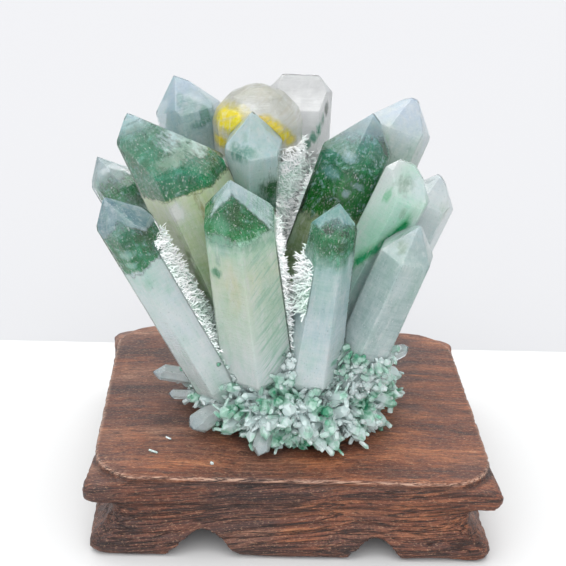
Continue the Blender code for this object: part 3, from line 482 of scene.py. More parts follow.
# What each crystal holds. First the older crystal inside it, how far it stands in from the sides
# and lies below the end, in millimetres. Then its moss and the veil just under the skin: colours
# and cover from the end down, and spots (x, y, z, half width, half length, colour, cover).
MILK, MIST, SMOKE = "#c6ccce", "#b4c2c3", "#a9b8c1"
MOSS_DEEP, MOSS_DARK, MOSS, MOSS_PALE = "#1a5a40", "#1f6549", "#2c7a58", "#7fae97"
INSIDES = {
    "left_tall": (1.2, 2.5, dict(ragged=1.8, calm=19.0, haze=0.35, slant=(-0.06, 0.0), stops=(
        (-4, MOSS, 0.0), (-1.5, "#457f70", 0.7), (1, "#34745c", 1.0), (7, "#2f6c53", 1.0), (13, "#457a64", 1.0),
        (16, "#40735a", 1.0), (20.0, "#3a6e50", 1.0), (20.5, "#b1b892", 1.0), (40, "#a9b38c", 1.0),
        (75, "#8c9a72", 1.0)),
        spots=((10.4, -4.4, 17.0, 3.4, 4.4, MOSS_DEEP, 0.95), (-4, -7, 7, 6, 5, "#23705a", 0.8))),
        dict(ragged=0.9, slant=(-0.06, 0.0), fibres=1.6, stops=(
            (-8, "#a3b5bf", 0.85), (-2.5, "#a6b8c0", 0.75), (0.5, "#9fb5b5", 0.2), (4, "#9fb3b5", 0.04),
            (20.0, "#a8b88c", 0.04), (20.6, "#c3cbb2", 0.85), (27, "#b9c4a6", 0.8), (46, "#a3b592", 0.8),
            (75, "#8a9f80", 0.9)),
            spots=((5.8, -5, 5.0, 7.0, 4.8, "#a9b8ba", 0.9), (9.0, -2, 10.5, 5.5, 3.4, "#b6c1c0", 0.85),
                   (2.0, -9, 9.5, 7.0, 2.2, "#8fae98", 0.45),
                   (-3.5, -11, 24, 3.6, 4.0, "#cdd6cd", 0.9), (3.2, -10.5, 33, 1.0, 15, "#948f66", 0.8),
                   (5.6, -10, 38, 0.8, 12, "#9c9b70", 0.6), (-6.5, -3, -3.0, 3.4, 0.35, "#56707a", 0.6)))),
    "left_back": (3.0, 5.0, dict(ragged=2.4, haze=0.8, stops=(
        (-2, MOSS, 0.0), (4, "#6f8f8c", 0.6), (9, "#5f877c", 0.8), (19, "#4f7d6c", 0.9), (25, "#8aa39c", 0.8),
        (60, MILK, 1.0))),
        dict(ragged=2.4, sparkle=1.0, stops=(
            (-4, "#a9b5c2", 0.75), (3, "#aebbc6", 0.6), (12, "#b0bfc6", 0.45), (24, MIST, 0.6),
            (40, MILK, 0.9), (90, MILK, 1.0)),
            spots=((5.0, -7, 12.0, 1.6, 2.6, "#4f7a6c", 0.7), (2.6, -8, 14.6, 2.6, 1.4, "#4f7a6c", 0.65),
                   (1.0, -7, 9.0, 3.4, 2.6, "#8fa6a4", 0.6),
                   (-1.5, -6, 6.0, 1.2, 3.0, "#7d9c9a", 0.7)))),
    "left_far": (2.2, 3.5, dict(ragged=1.8, stops=(
        (-2, MOSS, 0.0), (3, "#3d6f58", 0.3), (7, MOSS_DARK, 0.95), (15, "#2a6a4a", 0.95), (18, MIST, 0.7),
        (60, MILK, 1.0))),
        dict(ragged=1.6, sparkle=1.0, stops=(
            (-5, "#a9b8c1", 0.5), (4, "#b6c3c9", 0.4), (8, "#a5b6bc", 0.12), (17, MIST, 0.3), (20, MIST, 0.7),
            (30, MILK, 0.9), (80, MILK, 1.0)),
             spots=((-3.5, 0, -3.5, 2.0, 3.0, "#2c5d55", 0.8), (-4.5, -2, 6.0, 1.6, 4.0, "#6f9a88", 0.6)))),
    "left_front": (1.2, 3.0, dict(ragged=1.8, calm=20.0, haze=0.4, slant=(0.18, 0.0), stops=(
        (3, MOSS, 0.0), (6, "#347a62", 0.9), (11, "#226a50", 1.0), (20.6, "#2a7856", 1.0), (21.2, MIST, 0.9),
        (28, MILK, 1.0), (70, MILK, 1.0)),
        spots=((-3, -7, 15, 2.6, 1.6, "#8fb5ab", 0.7), (-3.4, -5.5, 18.6, 1.8, 1.2, "#7fb0a0", 0.6),
               (4.5, -6, 13, 3.0, 5.0, MOSS_DEEP, 0.7))),
        dict(ragged=0.9, slant=(0.18, 0.0), sparkle=0.8, cap=(-0.5, 5.2, 0.62, 0.9, "#84979d", 0.8), stops=(
            (-4, "#9aadb8", 0.7), (5, "#93a9b2", 0.35), (9, MIST, 0.04), (20.6, MIST, 0.05),
            (21.4, "#b9cac6", 0.85), (32, "#c2cacb", 0.9), (50, "#c6cbcd", 0.95), (75, "#b0bcb8", 1.0)),
            spots=((-2, -7, 26, 2.0, 2.0, "#a3bfb4", 0.6), (3, -6, 30, 1.5, 1.5, "#9dbcb2", 0.6),
                   (1.0, -6, 1.5, 5.0, 0.4, "#71869a", 0.7), (7.0, -4, 24, 2.0, 7, "#d9e2e2", 0.8),
                   (7.0, -4, 40, 1.6, 12, "#d3dcdc", 0.7)))),
    "front_wide": (1.0, 2.2, dict(ragged=1.5, calm=12.0, haze=0.25, stops=(
        (-2, MOSS, 0.75), (2, "#2a7a5c", 1.0), (8, "#1f6b4c", 1.0), (12.4, "#26744f", 1.0), (13.8, "#8db59f", 0.9),
        (18, "#a9c0ae", 1.0), (24, "#b9c2b0", 1.0), (70, MILK, 1.0)),
        spots=((-1, -5, 7, 3.0, 4.0, MOSS_DEEP, 0.8), (-4.5, -6, 9.5, 2.4, 2.4, "#6fa68c", 0.4))),
        dict(ragged=1.4, bands=(0.78, "#8fb3a2", 0.65, 1.0),
             cap=(-1.2, 1.9, 0.78, 1.02, "#a6b3b6", 0.9), stops=(
            (-4, "#a9bcc3", 0.6), (1, "#a9bcc0", 0.1), (3, "#8fb0a4", 0.0), (11.8, "#97b8a6", 0.0),
            (14.0, "#9dbba9", 0.7), (17, "#b3c5b5", 0.85), (26, "#c4cabb", 0.85), (42, "#bfcac0", 0.9),
            (60, "#c6d0cc", 0.95), (80, "#ced5d3", 1.0)),
            spots=((-5.8, -7, 13.0, 3.4, 2.2, "#8fb3a3", 0.75), (-5.5, -8, 16.5, 3.0, 2.5, "#a3bcb4", 0.7),
                   (-8, -6, 25, 1.4, 1.8, "#4f8c6e", 0.8), (-7.2, -7, 20, 1.0, 2.4, "#88a69a", 0.6),
                   (-3.6, -8, 29, 2.2, 11, "#c4c4b0", 0.55), (1, -6, 1.0, 0.9, 0.9, "#5d6b80", 0.7),
                   (7, -7, 40, 4.0, 15, "#a3bcac", 0.5)))),
    "front_right": (1.1, 2.5, dict(ragged=1.8, haze=0.35, stops=(
        (-1, MOSS, 0.0), (3.5, "#33705f", 0.75), (6.5, "#2a7052", 1.0), (12, "#2a7050", 1.0), (16.5, "#5f9a80", 0.9),
        (20, MIST, 1.0), (60, MILK, 1.0)),
        spots=((-2.0, -4.5, 6.5, 2.4, 1.2, "#0e3626", 0.95), (2.5, -5, 9.5, 2.2, 2.6, MOSS_DEEP, 0.7))),
        dict(ragged=1.6, sparkle=0.9, cap=(0.2, 2.6, 0.65, 0.6, "#86a5a6", 0.8), stops=(
            (-4, "#93adb4", 0.6), (4, "#8fb0b2", 0.3), (6, MOSS_PALE, 0.02), (12, MOSS_PALE, 0.1),
            (17.5, "#a3bbb8", 0.85), (23, "#adbfc0", 0.9), (30, "#b0bfc1", 0.9), (45, "#bdc7c9", 0.95),
            (70, "#c8ced1", 1.0)),
            spots=((5.5, -4, 51, 1.4, 1.3, "#7aac98", 0.7), (2.2, -2, 3.2, 0.5, 2.0, "#5f7f8c", 0.7)))),
    "dark_right": (1.6, 4.0, dict(ragged=2.2, slant=(0.3, 0.0), haze=0.75, stops=(
        (0, MOSS, 0.0), (4, "#6c8c90", 0.5), (8, "#47766a", 0.95), (13, "#2f6652", 1.0), (20, "#2a6a48", 1.0),
        (30, "#2c6c42", 1.0), (32.5, "#96a183", 1.0), (48, "#7e8e6c", 1.0), (75, "#6d7d5e", 1.0)),
        spots=((-3, -8, 13.0, 2.0, 1.2, "#a9bcc6", 0.6), (-6, -6, 19, 3.2, 1.8, "#7fa6a8", 0.55),
               (-0.6, -8, 23.5, 1.6, 1.6, "#a9bfc8", 0.6), (2, -8, 20, 2.4, 1.0, "#9db4bc", 0.5),
               (-5, -8, 27, 4.0, 3.5, "#205a3c", 0.9), (5, -7, 27, 3.0, 4.0, "#38744e", 0.7))),
        dict(ragged=1.6, slant=(0.3, 0.0), stops=(
            (-4, "#b2bfc8", 0.65), (4, "#a6b7be", 0.4), (9, SMOKE, 0.05), (30, "#8aa182", 0.06),
            (33, "#97a487", 0.8), (46, "#8a9b7c", 0.85), (75, "#748668", 1.0)))),
    "right_back": (3.0, 5.0, dict(ragged=2.5, stops=(
        (0, MIST, 0.0), (10, "#adbcb6", 0.6), (20, "#9cb3a6", 0.9), (60, MIST, 1.0))),
        dict(ragged=3.0, green=0.1, sparkle=0.9, stops=(
            (-4, "#b6bfca", 0.75), (6, "#bcc4cb", 0.75), (13, "#b6c0c0", 0.8), (20, "#a6b4ab", 0.85),
            (30, "#9dada2", 0.9), (90, MIST, 1.0)),
            spots=((-5, -7, 17, 1.8, 4.0, "#7fae80", 0.7), (-6.2, -6, 20, 1.2, 3.0, "#3f9a62", 0.7),
                   (5.5, -6, 16, 3.0, 6.0, "#9cb0a6", 0.6)))),
    "back_tall": (4.0, 5.0, dict(ragged=2.5, stops=(
        (0, MILK, 0.0), (10, "#e3e8e9", 0.5), (20, "#e8ebeb", 0.9), (60, "#e4e8e8", 1.0))),
        dict(ragged=1.2, green=0.0, fibres=0.5, stops=(
            (-4, "#cbd7de", 0.4), (4, "#e6ecf0", 0.55), (10, "#ffffff", 0.9), (24, "#ffffff", 1.0),
            (90, "#ffffff", 1.0)),
            spots=((7.8, -3, 10.5, 1.1, 2.6, "#1f5347", 0.85), (7.0, -6, 14, 1.0, 2.6, "#2f7360", 0.8),
                   (5.6, -7, 17, 1.0, 2.4, "#3f8a72", 0.75), (4.0, -8, 19.6, 1.2, 2.0, "#3f8a72", 0.75),
                   (1.8, -8, 22, 1.8, 1.5, "#3a8069", 0.8)))),
    "right_mid": (2.2, 4.0, dict(ragged=2.0, slant=(2.0, 0.0), stops=(
        (0, MIST, 0.0), (8, "#a9c6b9", 0.8), (16, "#8fbfa4", 1.0), (20, "#3f9468", 1.0), (23, MIST, 1.0),
        (60, MIST, 1.0))),
        dict(ragged=1.2, slant=(2.36, 0.0), green=0.2, sparkle=0.8, stops=(
            (-14, "#c9d0d0", 0.8), (-4, "#bccdc5", 0.85), (6, "#b0cabf", 0.85), (15, "#a9c8ba", 0.9),
            (17.4, "#8fc0a6", 0.85), (19.2, "#3f9468", 0.95), (21.8, "#4d9a72", 0.95), (24.0, "#a6bcb5", 0.9),
            (32, "#a9bcb9", 0.95), (48, "#aebdbc", 1.0), (80, MILK, 1.0)),
            spots=((3.5, -4, 4.0, 6.0, 4.5, "#bfc8c9", 0.9), (4.5, -5, 10.0, 3.5, 4.0, "#bccac4", 0.8),
                   (-2.0, -4, 4.6, 2.8, 3.0, "#93a398", 0.7), (0.5, -7, 12.0, 1.2, 2.0, "#93a896", 0.5),
                   (-5.5, -5.5, 9.5, 1.0, 2.4, "#62b083", 0.6)))),
    "right_far": (3.0, 5.0, dict(stops=((0, MIST, 0.0), (10, MILK, 0.5), (20, MIST, 0.9), (60, MIST, 1.0))),
                  dict(ragged=2.5, green=0.1, sparkle=0.9, stops=(
                      (-4, "#c3c8d1", 0.7), (8, "#c6ccd2", 0.8), (18, "#bcc6c7", 0.85),
                      (30, MIST, 0.95), (80, MIST, 1.0)),
                      spots=((4.0, -4, 9.0, 2.0, 3.0, "#aeb9b0", 0.6),))),
    "right_low": (2.0, 4.0, dict(stops=((0, MIST, 0.0), (6, "#9db5a6", 0.5), (14, MIST, 1.0), (60, MILK, 1.0))),
                  dict(ragged=2.5, green=0.2, sparkle=0.9, stops=(
                      (-4, "#bdc6cb", 0.75), (5, "#b0bdbd", 0.7), (12, "#a9b9b6", 0.85),
                      (30, "#a6b4b3", 0.95), (70, MILK, 1.0)),
                      spots=((-3, -4, 6, 1.4, 2.2, "#7d9678", 0.4), (0, -6, 16, 3.0, 6.0, "#b9c2c3", 0.6)))),
    "middle_short": (3.4, 6.0, dict(ragged=1.8, stops=(
        (-2, MIST, 0.0), (6, "#8fb5ae", 0.5), (14, "#8fb5a9", 0.8), (24, "#4f8a74", 0.9), (60, MOSS_DARK, 1.0))),
        dict(ragged=2.0, sparkle=1.0, stops=(
            (-4, "#bdcad4", 0.65), (6, "#b9cacf", 0.7), (14, "#c0d0ce", 0.8),
            (21, "#a9c3bb", 0.8), (26, "#5d9379", 0.7), (60, MOSS_DARK, 1.0)),
             spots=((-4.6, -5, 9.5, 3.0, 2.6, "#4a8672", 0.6), (-1.0, -6, 8.6, 2.4, 1.8, "#6a9a8c", 0.5),
                    (-3, -6, 5, 1.8, 2.0, "#8fb0a8", 0.6), (4.6, -5.5, 21.5, 3.4, 5.0, "#1b5f3c", 0.95),
                    (6.8, -3, 15.5, 1.0, 3.5, "#3f8560", 0.8), (5.0, -5, 31.0, 1.8, 3.0, "#8a7f42", 0.9)))),
}
HIDDEN_INSIDE = (1.8, 5.0, dict(stops=(
    (-2, MOSS, 0.0), (5, MOSS, 0.8), (13, MOSS_DARK, 1.0), (22, MOSS, 1.0), (28, MIST, 1.0), (60, MILK, 1.0))),
    dict(stops=((-4, SMOKE, 0.45), (10, MIST, 0.1), (20, MOSS_PALE, 0.3), (27, MIST, 0.85), (45, MILK, 0.95),
                (90, MILK, 1.0))))
VEIL_INSET = 0.6
SMALLEST_WITH_INSIDE = 10
SMALL_VEIL = dict(ragged=1.0, green=0.1, sparkle=1.0, stops=(
    (-2, "#b9c3cb", 0.35), (4, "#c3ccd3", 0.55), (9, "#c9d3d3", 0.8), (20, "#b9cdc3", 1.0)))

skin_material = grown_quartz()
for number, (name, crystal) in enumerate(CRYSTALS.items()):
    bm = crystal_shape(crystal, wear=EDGE_WEAR)
    place_crystal(bm, crystal)
    skin = object_from(bm, f"{name}_crystal", skin_material)
    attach(skin, "root")
    if number == 0:
        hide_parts("quartz_cluster")
    inset, sunk, moss, veil = INSIDES.get(name, HIDDEN_INSIDE)
    if crystal[2] < SMALLEST_WITH_INSIDE:
        veil = SMALL_VEIL
    bm = crystal_shape(crystal, inset=VEIL_INSET * MM)
    place_crystal(bm, crystal)
    veil = object_from(bm, f"{name}_veil", milky_veil(f"{name}_milky_veil", seed=number, **veil))
    if crystal[2] < SMALLEST_WITH_INSIDE:
        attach(veil, "root")
        continue
    bm = crystal_shape(crystal, inset=inset * MM, sunk=sunk * MM)
    place_crystal(bm, crystal)
    phantom = object_from(bm, f"{name}_phantom", chlorite_moss(f"{name}_chlorite_phantom", seed=number, **moss))
    for piece in (veil, phantom):
        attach(piece, "root")

# The crystal with a rounded end, behind the middle: clear quartz grown in curved steps, with
# yellow iron stain in cracks inside its left and right sides.
ROUND_ROOT, ROUND_TIP = (-10, 12, 42), (-15, 14, 129)
ROUND_RADIUS = 14.0 * MM
ROUND_ROOT_SHARE, ROUND_BODY_SHARE = 0.8, 1.04
ROUND_SIDES = 12
ROUND_BANDS = (18.0, 42.0, 66.0)
ROUND_WEAR = 0.5 * MM


def round_shape(inset=0.0, wear=0.0):
    """The rounded crystal in its own frame, cut into bands of facets, as a bmesh."""
    length = (Vector(ROUND_TIP) - Vector(ROUND_ROOT)).length * MM
    middle = Vector((0.0, 0.0, length - ROUND_RADIUS))
    bm = bmesh.new()
    bmesh.ops.create_cone(bm, cap_ends=True, segments=ROUND_SIDES,
                          radius1=ROUND_ROOT_SHARE * ROUND_RADIUS - inset,
                          radius2=ROUND_BODY_SHARE * ROUND_RADIUS - inset, depth=length,
                          matrix=Matrix.Translation((0.0, 0.0, 0.5 * length)))
    for band in ROUND_BANDS:
        slope = math.radians(band)
        for side in range(ROUND_SIDES):
            angle = 2.0 * math.pi * (side + 0.5) / ROUND_SIDES
            normal = Vector((math.cos(slope) * math.cos(angle), math.cos(slope) * math.sin(angle), math.sin(slope)))
            cut_flat(bm, middle + normal * (ROUND_RADIUS - inset), normal)
    if wear:
        bmesh.ops.bevel(bm, geom=bm.edges[:], offset=wear, segments=2, profile=0.6, affect="EDGES")
    bmesh.ops.recalc_face_normals(bm, faces=bm.faces[:])
    return bm


for name, inset, material in (
        ("rounded_crystal", 0.0, skin_material),
        ("rounded_crystal_stain", 0.7 * MM, milky_veil(
            "iron_stained_cracks", ragged=1.6, fibres=0.6, green=0.1, sparkle=0.5, torn=0.12, seed=40, stops=(
                (-2, "#b6b4a9", 0.7), (3, "#b9b8b0", 0.6), (7, "#c9c9c5", 0.7), (18, "#c4c4bc", 0.75), (26, "#dde2dd", 0.95),
                (90, "#e3e8e6", 1.0)),
            bands=(0.5, "#b4ae9f", 0.45, -20.0),
            spots=((-3.0, -9, 5.0, 5.0, 2.2, "#f4f4f2", 0.8), (-8.6, -8, 8.6, 7.4, 4.6, "#cdbe14", 1.0),
                   (-6.0, -9, 10.5, 4.6, 3.0, "#d0c21c", 0.9), (-11.6, -6, 15.6, 4.0, 2.4, "#d6ba10", 1.0),
                   (1.8, -11.5, 7.6, 2.8, 1.4, "#dcb82c", 0.9), (3.9, -11.5, 9.3, 2.8, 1.8, "#dcbc34", 1.0),
                   (5.9, -11, 11.2, 2.8, 2.0, "#dcbc3c", 1.0), (7.9, -10, 13.2, 2.6, 2.2, "#dfbf48", 1.0),
                   (9.6, -9, 15.0, 2.2, 2.0, "#dfbd50", 0.9))))):
    bm = round_shape(inset, 0.0 if inset else ROUND_WEAR)
    place_crystal(bm, (ROUND_ROOT, ROUND_TIP))
    piece = object_from(bm, name, material)
    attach(piece, "root")

# The crust that all the crystals stand in: a low dome of milky quartz, covered with small clear and
# milky points that grew outwards, green in patches where chlorite lies in them.
STAND_HEIGHT = 27.3 * MM
GAP = 0.3 * MM
CRUST_HALF = (27.5 * MM, 31.0 * MM, 14.0 * MM)
CRUST_MIDDLE_HEIGHT = 36.0 * MM
CRUST_INSET = 0.6 * MM
CRUST_ROUGHNESS = 0.8 * MM
RINGS = (
    (26, -16, -24, (8.0, 11.0), (3.0, 4.6)),
    (25, 6, -4, (7.5, 10.5), (2.8, 4.4)),
    (22, 27, 16, (7.0, 10.0), (2.6, 4.2)),
    (18, 48, 34, (8.0, 12.0), (2.4, 3.8)),
)
POINT_SEED = 11
SOURCE_WIDTH = 0.35


def crust_quartz(name, clear, green, pale, white):
    """Quartz of the crust: milky or clear, green in patches."""
    material, tree, shader = new_material(name)
    place = add(tree, "ShaderNodeTexCoord", out="Object")
    patch = add(tree, "ShaderNodeTexNoise", {"Vector": place, "Scale": 110.0, "Detail": 4.0, "Roughness": 0.6})
    fine = add(tree, "ShaderNodeTexNoise", {"Vector": place, "Scale": 900.0, "Detail": 3.0})
    tint = add(tree, "ShaderNodeAttribute", out="Fac", attribute_name="tint")
    patch = add(tree, "ShaderNodeMath", {0: tint, 1: 0.05, 2: patch}, operation="MULTIPLY_ADD")
    patch = add(tree, "ShaderNodeMath", {0: fine, 1: 0.12, 2: patch}, operation="MULTIPLY_ADD")
    colour = add(tree, "ShaderNodeValToRGB", {0: patch}, stops=(
        (0.0, linear(white)), (0.52, linear(white)), (0.60, linear(pale)), (0.72, linear(green))))
    tree.links.new(colour, shader.inputs["Base Color"])
    shader.inputs["Roughness"].default_value = 0.05
    shader.inputs["IOR"].default_value = 1.54
    shader.inputs["Transmission Weight"].default_value = clear
    return material


def small_crystal(bm, matrix, width, length, turn=0.0, ends=(0.0,) * SIDES):
    """Add one six-sided point, root at the matrix's origin, along its Z."""
    radius = 0.5 * width / math.cos(math.pi / SIDES)
    part = bmesh.new()
    bmesh.ops.create_cone(part, cap_ends=True, segments=SIDES, radius1=radius, radius2=radius,
                          depth=length, matrix=Matrix.Translation((0.0, 0.0, 0.5 * length)))
    bmesh.ops.rotate(part, verts=part.verts[:], matrix=Matrix.Rotation(math.pi / SIDES + turn, 3, "Z"))
    for side in range(SIDES):
        angle = turn + side * math.pi / 3.0
        normal = Vector((math.sin(angle) * math.cos(END_FACE_ANGLE), -math.cos(angle) * math.cos(END_FACE_ANGLE),
                         math.sin(END_FACE_ANGLE)))
        cut_flat(part, Vector((0.0, 0.0, length + ends[side])), normal)
    part.transform(matrix)
    mesh = bpy.data.meshes.new("part")
    part.to_mesh(mesh)
    part.free()
    bm.from_mesh(mesh)
    bpy.data.meshes.remove(mesh)


def crust_surface(stand, around):
    """A point on the crust's surface."""
    level = math.cos(stand)
    return Vector((CRUST_HALF[0] * level * math.cos(around), CRUST_HALF[1] * level * math.sin(around),
                   CRUST_MIDDLE_HEIGHT + CRUST_HALF[2] * math.sin(stand)))


def ring_points():
    """The larger points of the crust, in rings, as one bmesh."""
    dice = random.Random(POINT_SEED)
    bm = bmesh.new()
    for count, stand_at, point_at, lengths, widths in RINGS:
        for number in range(count):
            around = 2.0 * math.pi * (number + dice.uniform(-0.35, 0.35)) / count
            stand_up = math.radians(stand_at + dice.uniform(-7.0, 7.0))
            point_up = math.radians(point_at + dice.uniform(-22.0, 22.0))
            heading = around + math.radians(dice.uniform(-28.0, 28.0))
            way = Vector((math.cos(point_up) * math.cos(heading),
                          math.cos(point_up) * math.sin(heading), math.sin(point_up)))
            length, width = dice.uniform(*lengths) * MM, dice.uniform(*widths) * MM
            surface = crust_surface(stand_up, around)
            tip = surface + way * length
            tip.z = max(tip.z, STAND_HEIGHT + GAP + 0.7 * width)
            root = surface - way * width
            turn = math.radians(dice.uniform(0.0, 60.0))
            ends = [dice.uniform(0.0, 0.25) * width for _ in range(SIDES)]
            small_crystal(bm, crystal_frame(root, tip), width, (tip - root).length, turn, ends)
    return bm


def crust_dome():
    """The low dome under the points, flat below where it rests on the stand."""
    bm = bmesh.new()
    bmesh.ops.create_uvsphere(bm, u_segments=64, v_segments=32, radius=1.0)
    for vert in bm.verts:
        way = vert.co.copy()
        rough = noise.noise(way * 6.0) * CRUST_ROUGHNESS - CRUST_INSET
        vert.co = Vector([a * (b + rough) for a, b in zip(way, CRUST_HALF)]) + Vector((0, 0, CRUST_MIDDLE_HEIGHT))
    cut_flat(bm, Vector((0.0, 0.0, STAND_HEIGHT + GAP)), Vector((0.0, 0.0, -1.0)))
    bmesh.ops.recalc_face_normals(bm, faces=bm.faces[:])
    return bm


def scatter_tree():
    """Geometry Nodes: copies of a source crystal grown out of a bed, standing on its faces."""
    tree = bpy.data.node_groups.new("grow_on_faces", "GeometryNodeTree")
    made = {}
    for name, kind in (("Bed", "NodeSocketGeometry"), ("Source", "NodeSocketObject"),
                       ("Material", "NodeSocketMaterial"), ("Spacing", "NodeSocketFloat"),
                       ("Density", "NodeSocketFloat"), ("Width Low", "NodeSocketFloat"),
                       ("Width High", "NodeSocketFloat"), ("Length Low", "NodeSocketFloat"),
                       ("Length High", "NodeSocketFloat"), ("Tilt", "NodeSocketFloat"),
                       ("Floor", "NodeSocketFloat"), ("Seed", "NodeSocketInt")):
        made[name] = tree.interface.new_socket(name, in_out="INPUT", socket_type=kind)
    tree.interface.new_socket("Grown", in_out="OUTPUT", socket_type="NodeSocketGeometry")
    given = tree.nodes.new("NodeGroupInput").outputs
    spread = add(tree, "GeometryNodeDistributePointsOnFaces", {
        "Mesh": given["Bed"], "Distance Min": given["Spacing"], "Density Max": given["Density"],
        "Seed": given["Seed"]}, distribute_method="POISSON")
    low = add(tree, "ShaderNodeMath", {0: given["Tilt"], 1: -1.0}, operation="MULTIPLY")
    low = add(tree, "ShaderNodeCombineXYZ", {0: low, 1: low, 2: -3.0})
    high = add(tree, "ShaderNodeCombineXYZ", {0: given["Tilt"], 1: given["Tilt"], 2: 3.0})
    turn = add(tree, "FunctionNodeRandomValue", {0: low, 1: high, "Seed": given["Seed"]}, data_type="FLOAT_VECTOR")
    turn = add(tree, "FunctionNodeEulerToRotation", {0: turn})
    turn = add(tree, "FunctionNodeRotateRotation", {0: spread.node.outputs["Rotation"], 1: turn},
               rotation_space="LOCAL")
    wide = add(tree, "FunctionNodeRandomValue", {2: given["Width Low"], 3: given["Width High"], "Seed": 5},
               out=1, data_type="FLOAT")
    long = add(tree, "FunctionNodeRandomValue", {2: given["Length Low"], 3: given["Length High"], "Seed": 6},
               out=1, data_type="FLOAT")
    size = add(tree, "ShaderNodeCombineXYZ", {0: wide, 1: wide, 2: long})
    source = add(tree, "GeometryNodeObjectInfo", {"Object": given["Source"]}, out="Geometry")
    grown = add(tree, "GeometryNodeInstanceOnPoints", {
        "Points": spread, "Instance": source, "Rotation": turn, "Scale": size})
    tint = add(tree, "FunctionNodeRandomValue", {2: -1.0, 3: 1.0, "Seed": 7}, out=1, data_type="FLOAT")
    grown = add(tree, "GeometryNodeStoreNamedAttribute", {"Geometry": grown, "Name": "tint", "Value": tint},
                data_type="FLOAT", domain="INSTANCE")
    grown = add(tree, "GeometryNodeRealizeInstances", {"Geometry": grown})
    place = add(tree, "GeometryNodeInputPosition")
    parts = add(tree, "ShaderNodeSeparateXYZ", {0: place}).node.outputs
    high = add(tree, "ShaderNodeMath", {0: parts[2], 1: given["Floor"]}, operation="MAXIMUM")
    place = add(tree, "ShaderNodeCombineXYZ", {0: parts[0], 1: parts[1], 2: high})
    grown = add(tree, "GeometryNodeSetPosition", {"Geometry": grown, "Position": place})
    grown = add(tree, "GeometryNodeSetMaterial", {"Geometry": grown, "Material": given["Material"]})
    result = tree.nodes.new("NodeGroupOutput")
    tree.links.new(grown, result.inputs["Grown"])
    return tree, {name: socket.identifier for name, socket in made.items()}


def grow(name, bed, material, **values):
    """A plain mesh of crystals grown on a bed's faces; the bed stays as it is."""
    tree, sockets = SCATTER
    carrier = bpy.data.objects.new(name, bed)
    bpy.context.scene.collection.objects.link(carrier)
    modifier = carrier.modifiers.new("grow", "NODES")
    modifier.node_group = tree
    modifier[sockets["Source"]] = POINT_SOURCE
    modifier[sockets["Material"]] = material
    for key, value in values.items():
        modifier[sockets[key]] = value
    carrier.data.update()
    mesh = evaluated_mesh(carrier)
    carrier.modifiers.clear()
    carrier.data = mesh
    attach(carrier, "root")
    return carrier


milky_points = crust_quartz("milky_and_green_quartz_points", 0.35, "#3c9870", "#b7dfce", "#dff0ee")
clear_points = crust_quartz("clear_quartz_points", 0.5, "#68bc98", "#cbe9de", "#ecf8f7")
crust_body = crust_quartz("milky_quartz_crust", 0.0, "#3a946a", "#a9d2c0", "#d6e7e3")
bm = bmesh.new()
small_crystal(bm, Matrix.Diagonal((1.0 / SOURCE_WIDTH, 1.0 / SOURCE_WIDTH, 1.0, 1.0)), SOURCE_WIDTH, 1.0, 0.0,
              (0.02, 0.0, 0.05, 0.03, 0.08, 0.0))
POINT_SOURCE = object_from(bm, "point_source", milky_points)
SCATTER = scatter_tree()

dome = object_from(crust_dome(), "crust_dome", crust_body, smooth_angle=30.0)
rings = object_from(ring_points(), "crust_larger_points", milky_points)
for piece in (dome, rings):
    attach(piece, "root")
grow("crust_points", dome.data, milky_points, **{
    "Spacing": 2.1 * MM, "Density": 7e5, "Width Low": 1.7 * MM, "Width High": 3.4 * MM, "Length Low": 4.5 * MM,
    "Length High": 8.5 * MM, "Tilt": 0.75, "Floor": STAND_HEIGHT + 0.5 * GAP, "Seed": 3})
grow("crust_fine_points", dome.data, clear_points, **{
    "Spacing": 1.5 * MM, "Density": 2e6, "Width Low": 0.6 * MM, "Width High": 1.6 * MM, "Length Low": 4.0 * MM,
    "Length High": 9.0 * MM, "Tilt": 0.9, "Floor": STAND_HEIGHT + 0.5 * GAP, "Seed": 8})
grow("crust_side_points", rings.data.copy(), clear_points, **{
    "Spacing": 2.6 * MM, "Density": 1e6, "Width Low": 0.7 * MM, "Width High": 1.7 * MM, "Length Low": 1.5 * MM,
    "Length High": 3.6 * MM, "Tilt": 1.0, "Floor": STAND_HEIGHT + 0.5 * GAP, "Seed": 12})

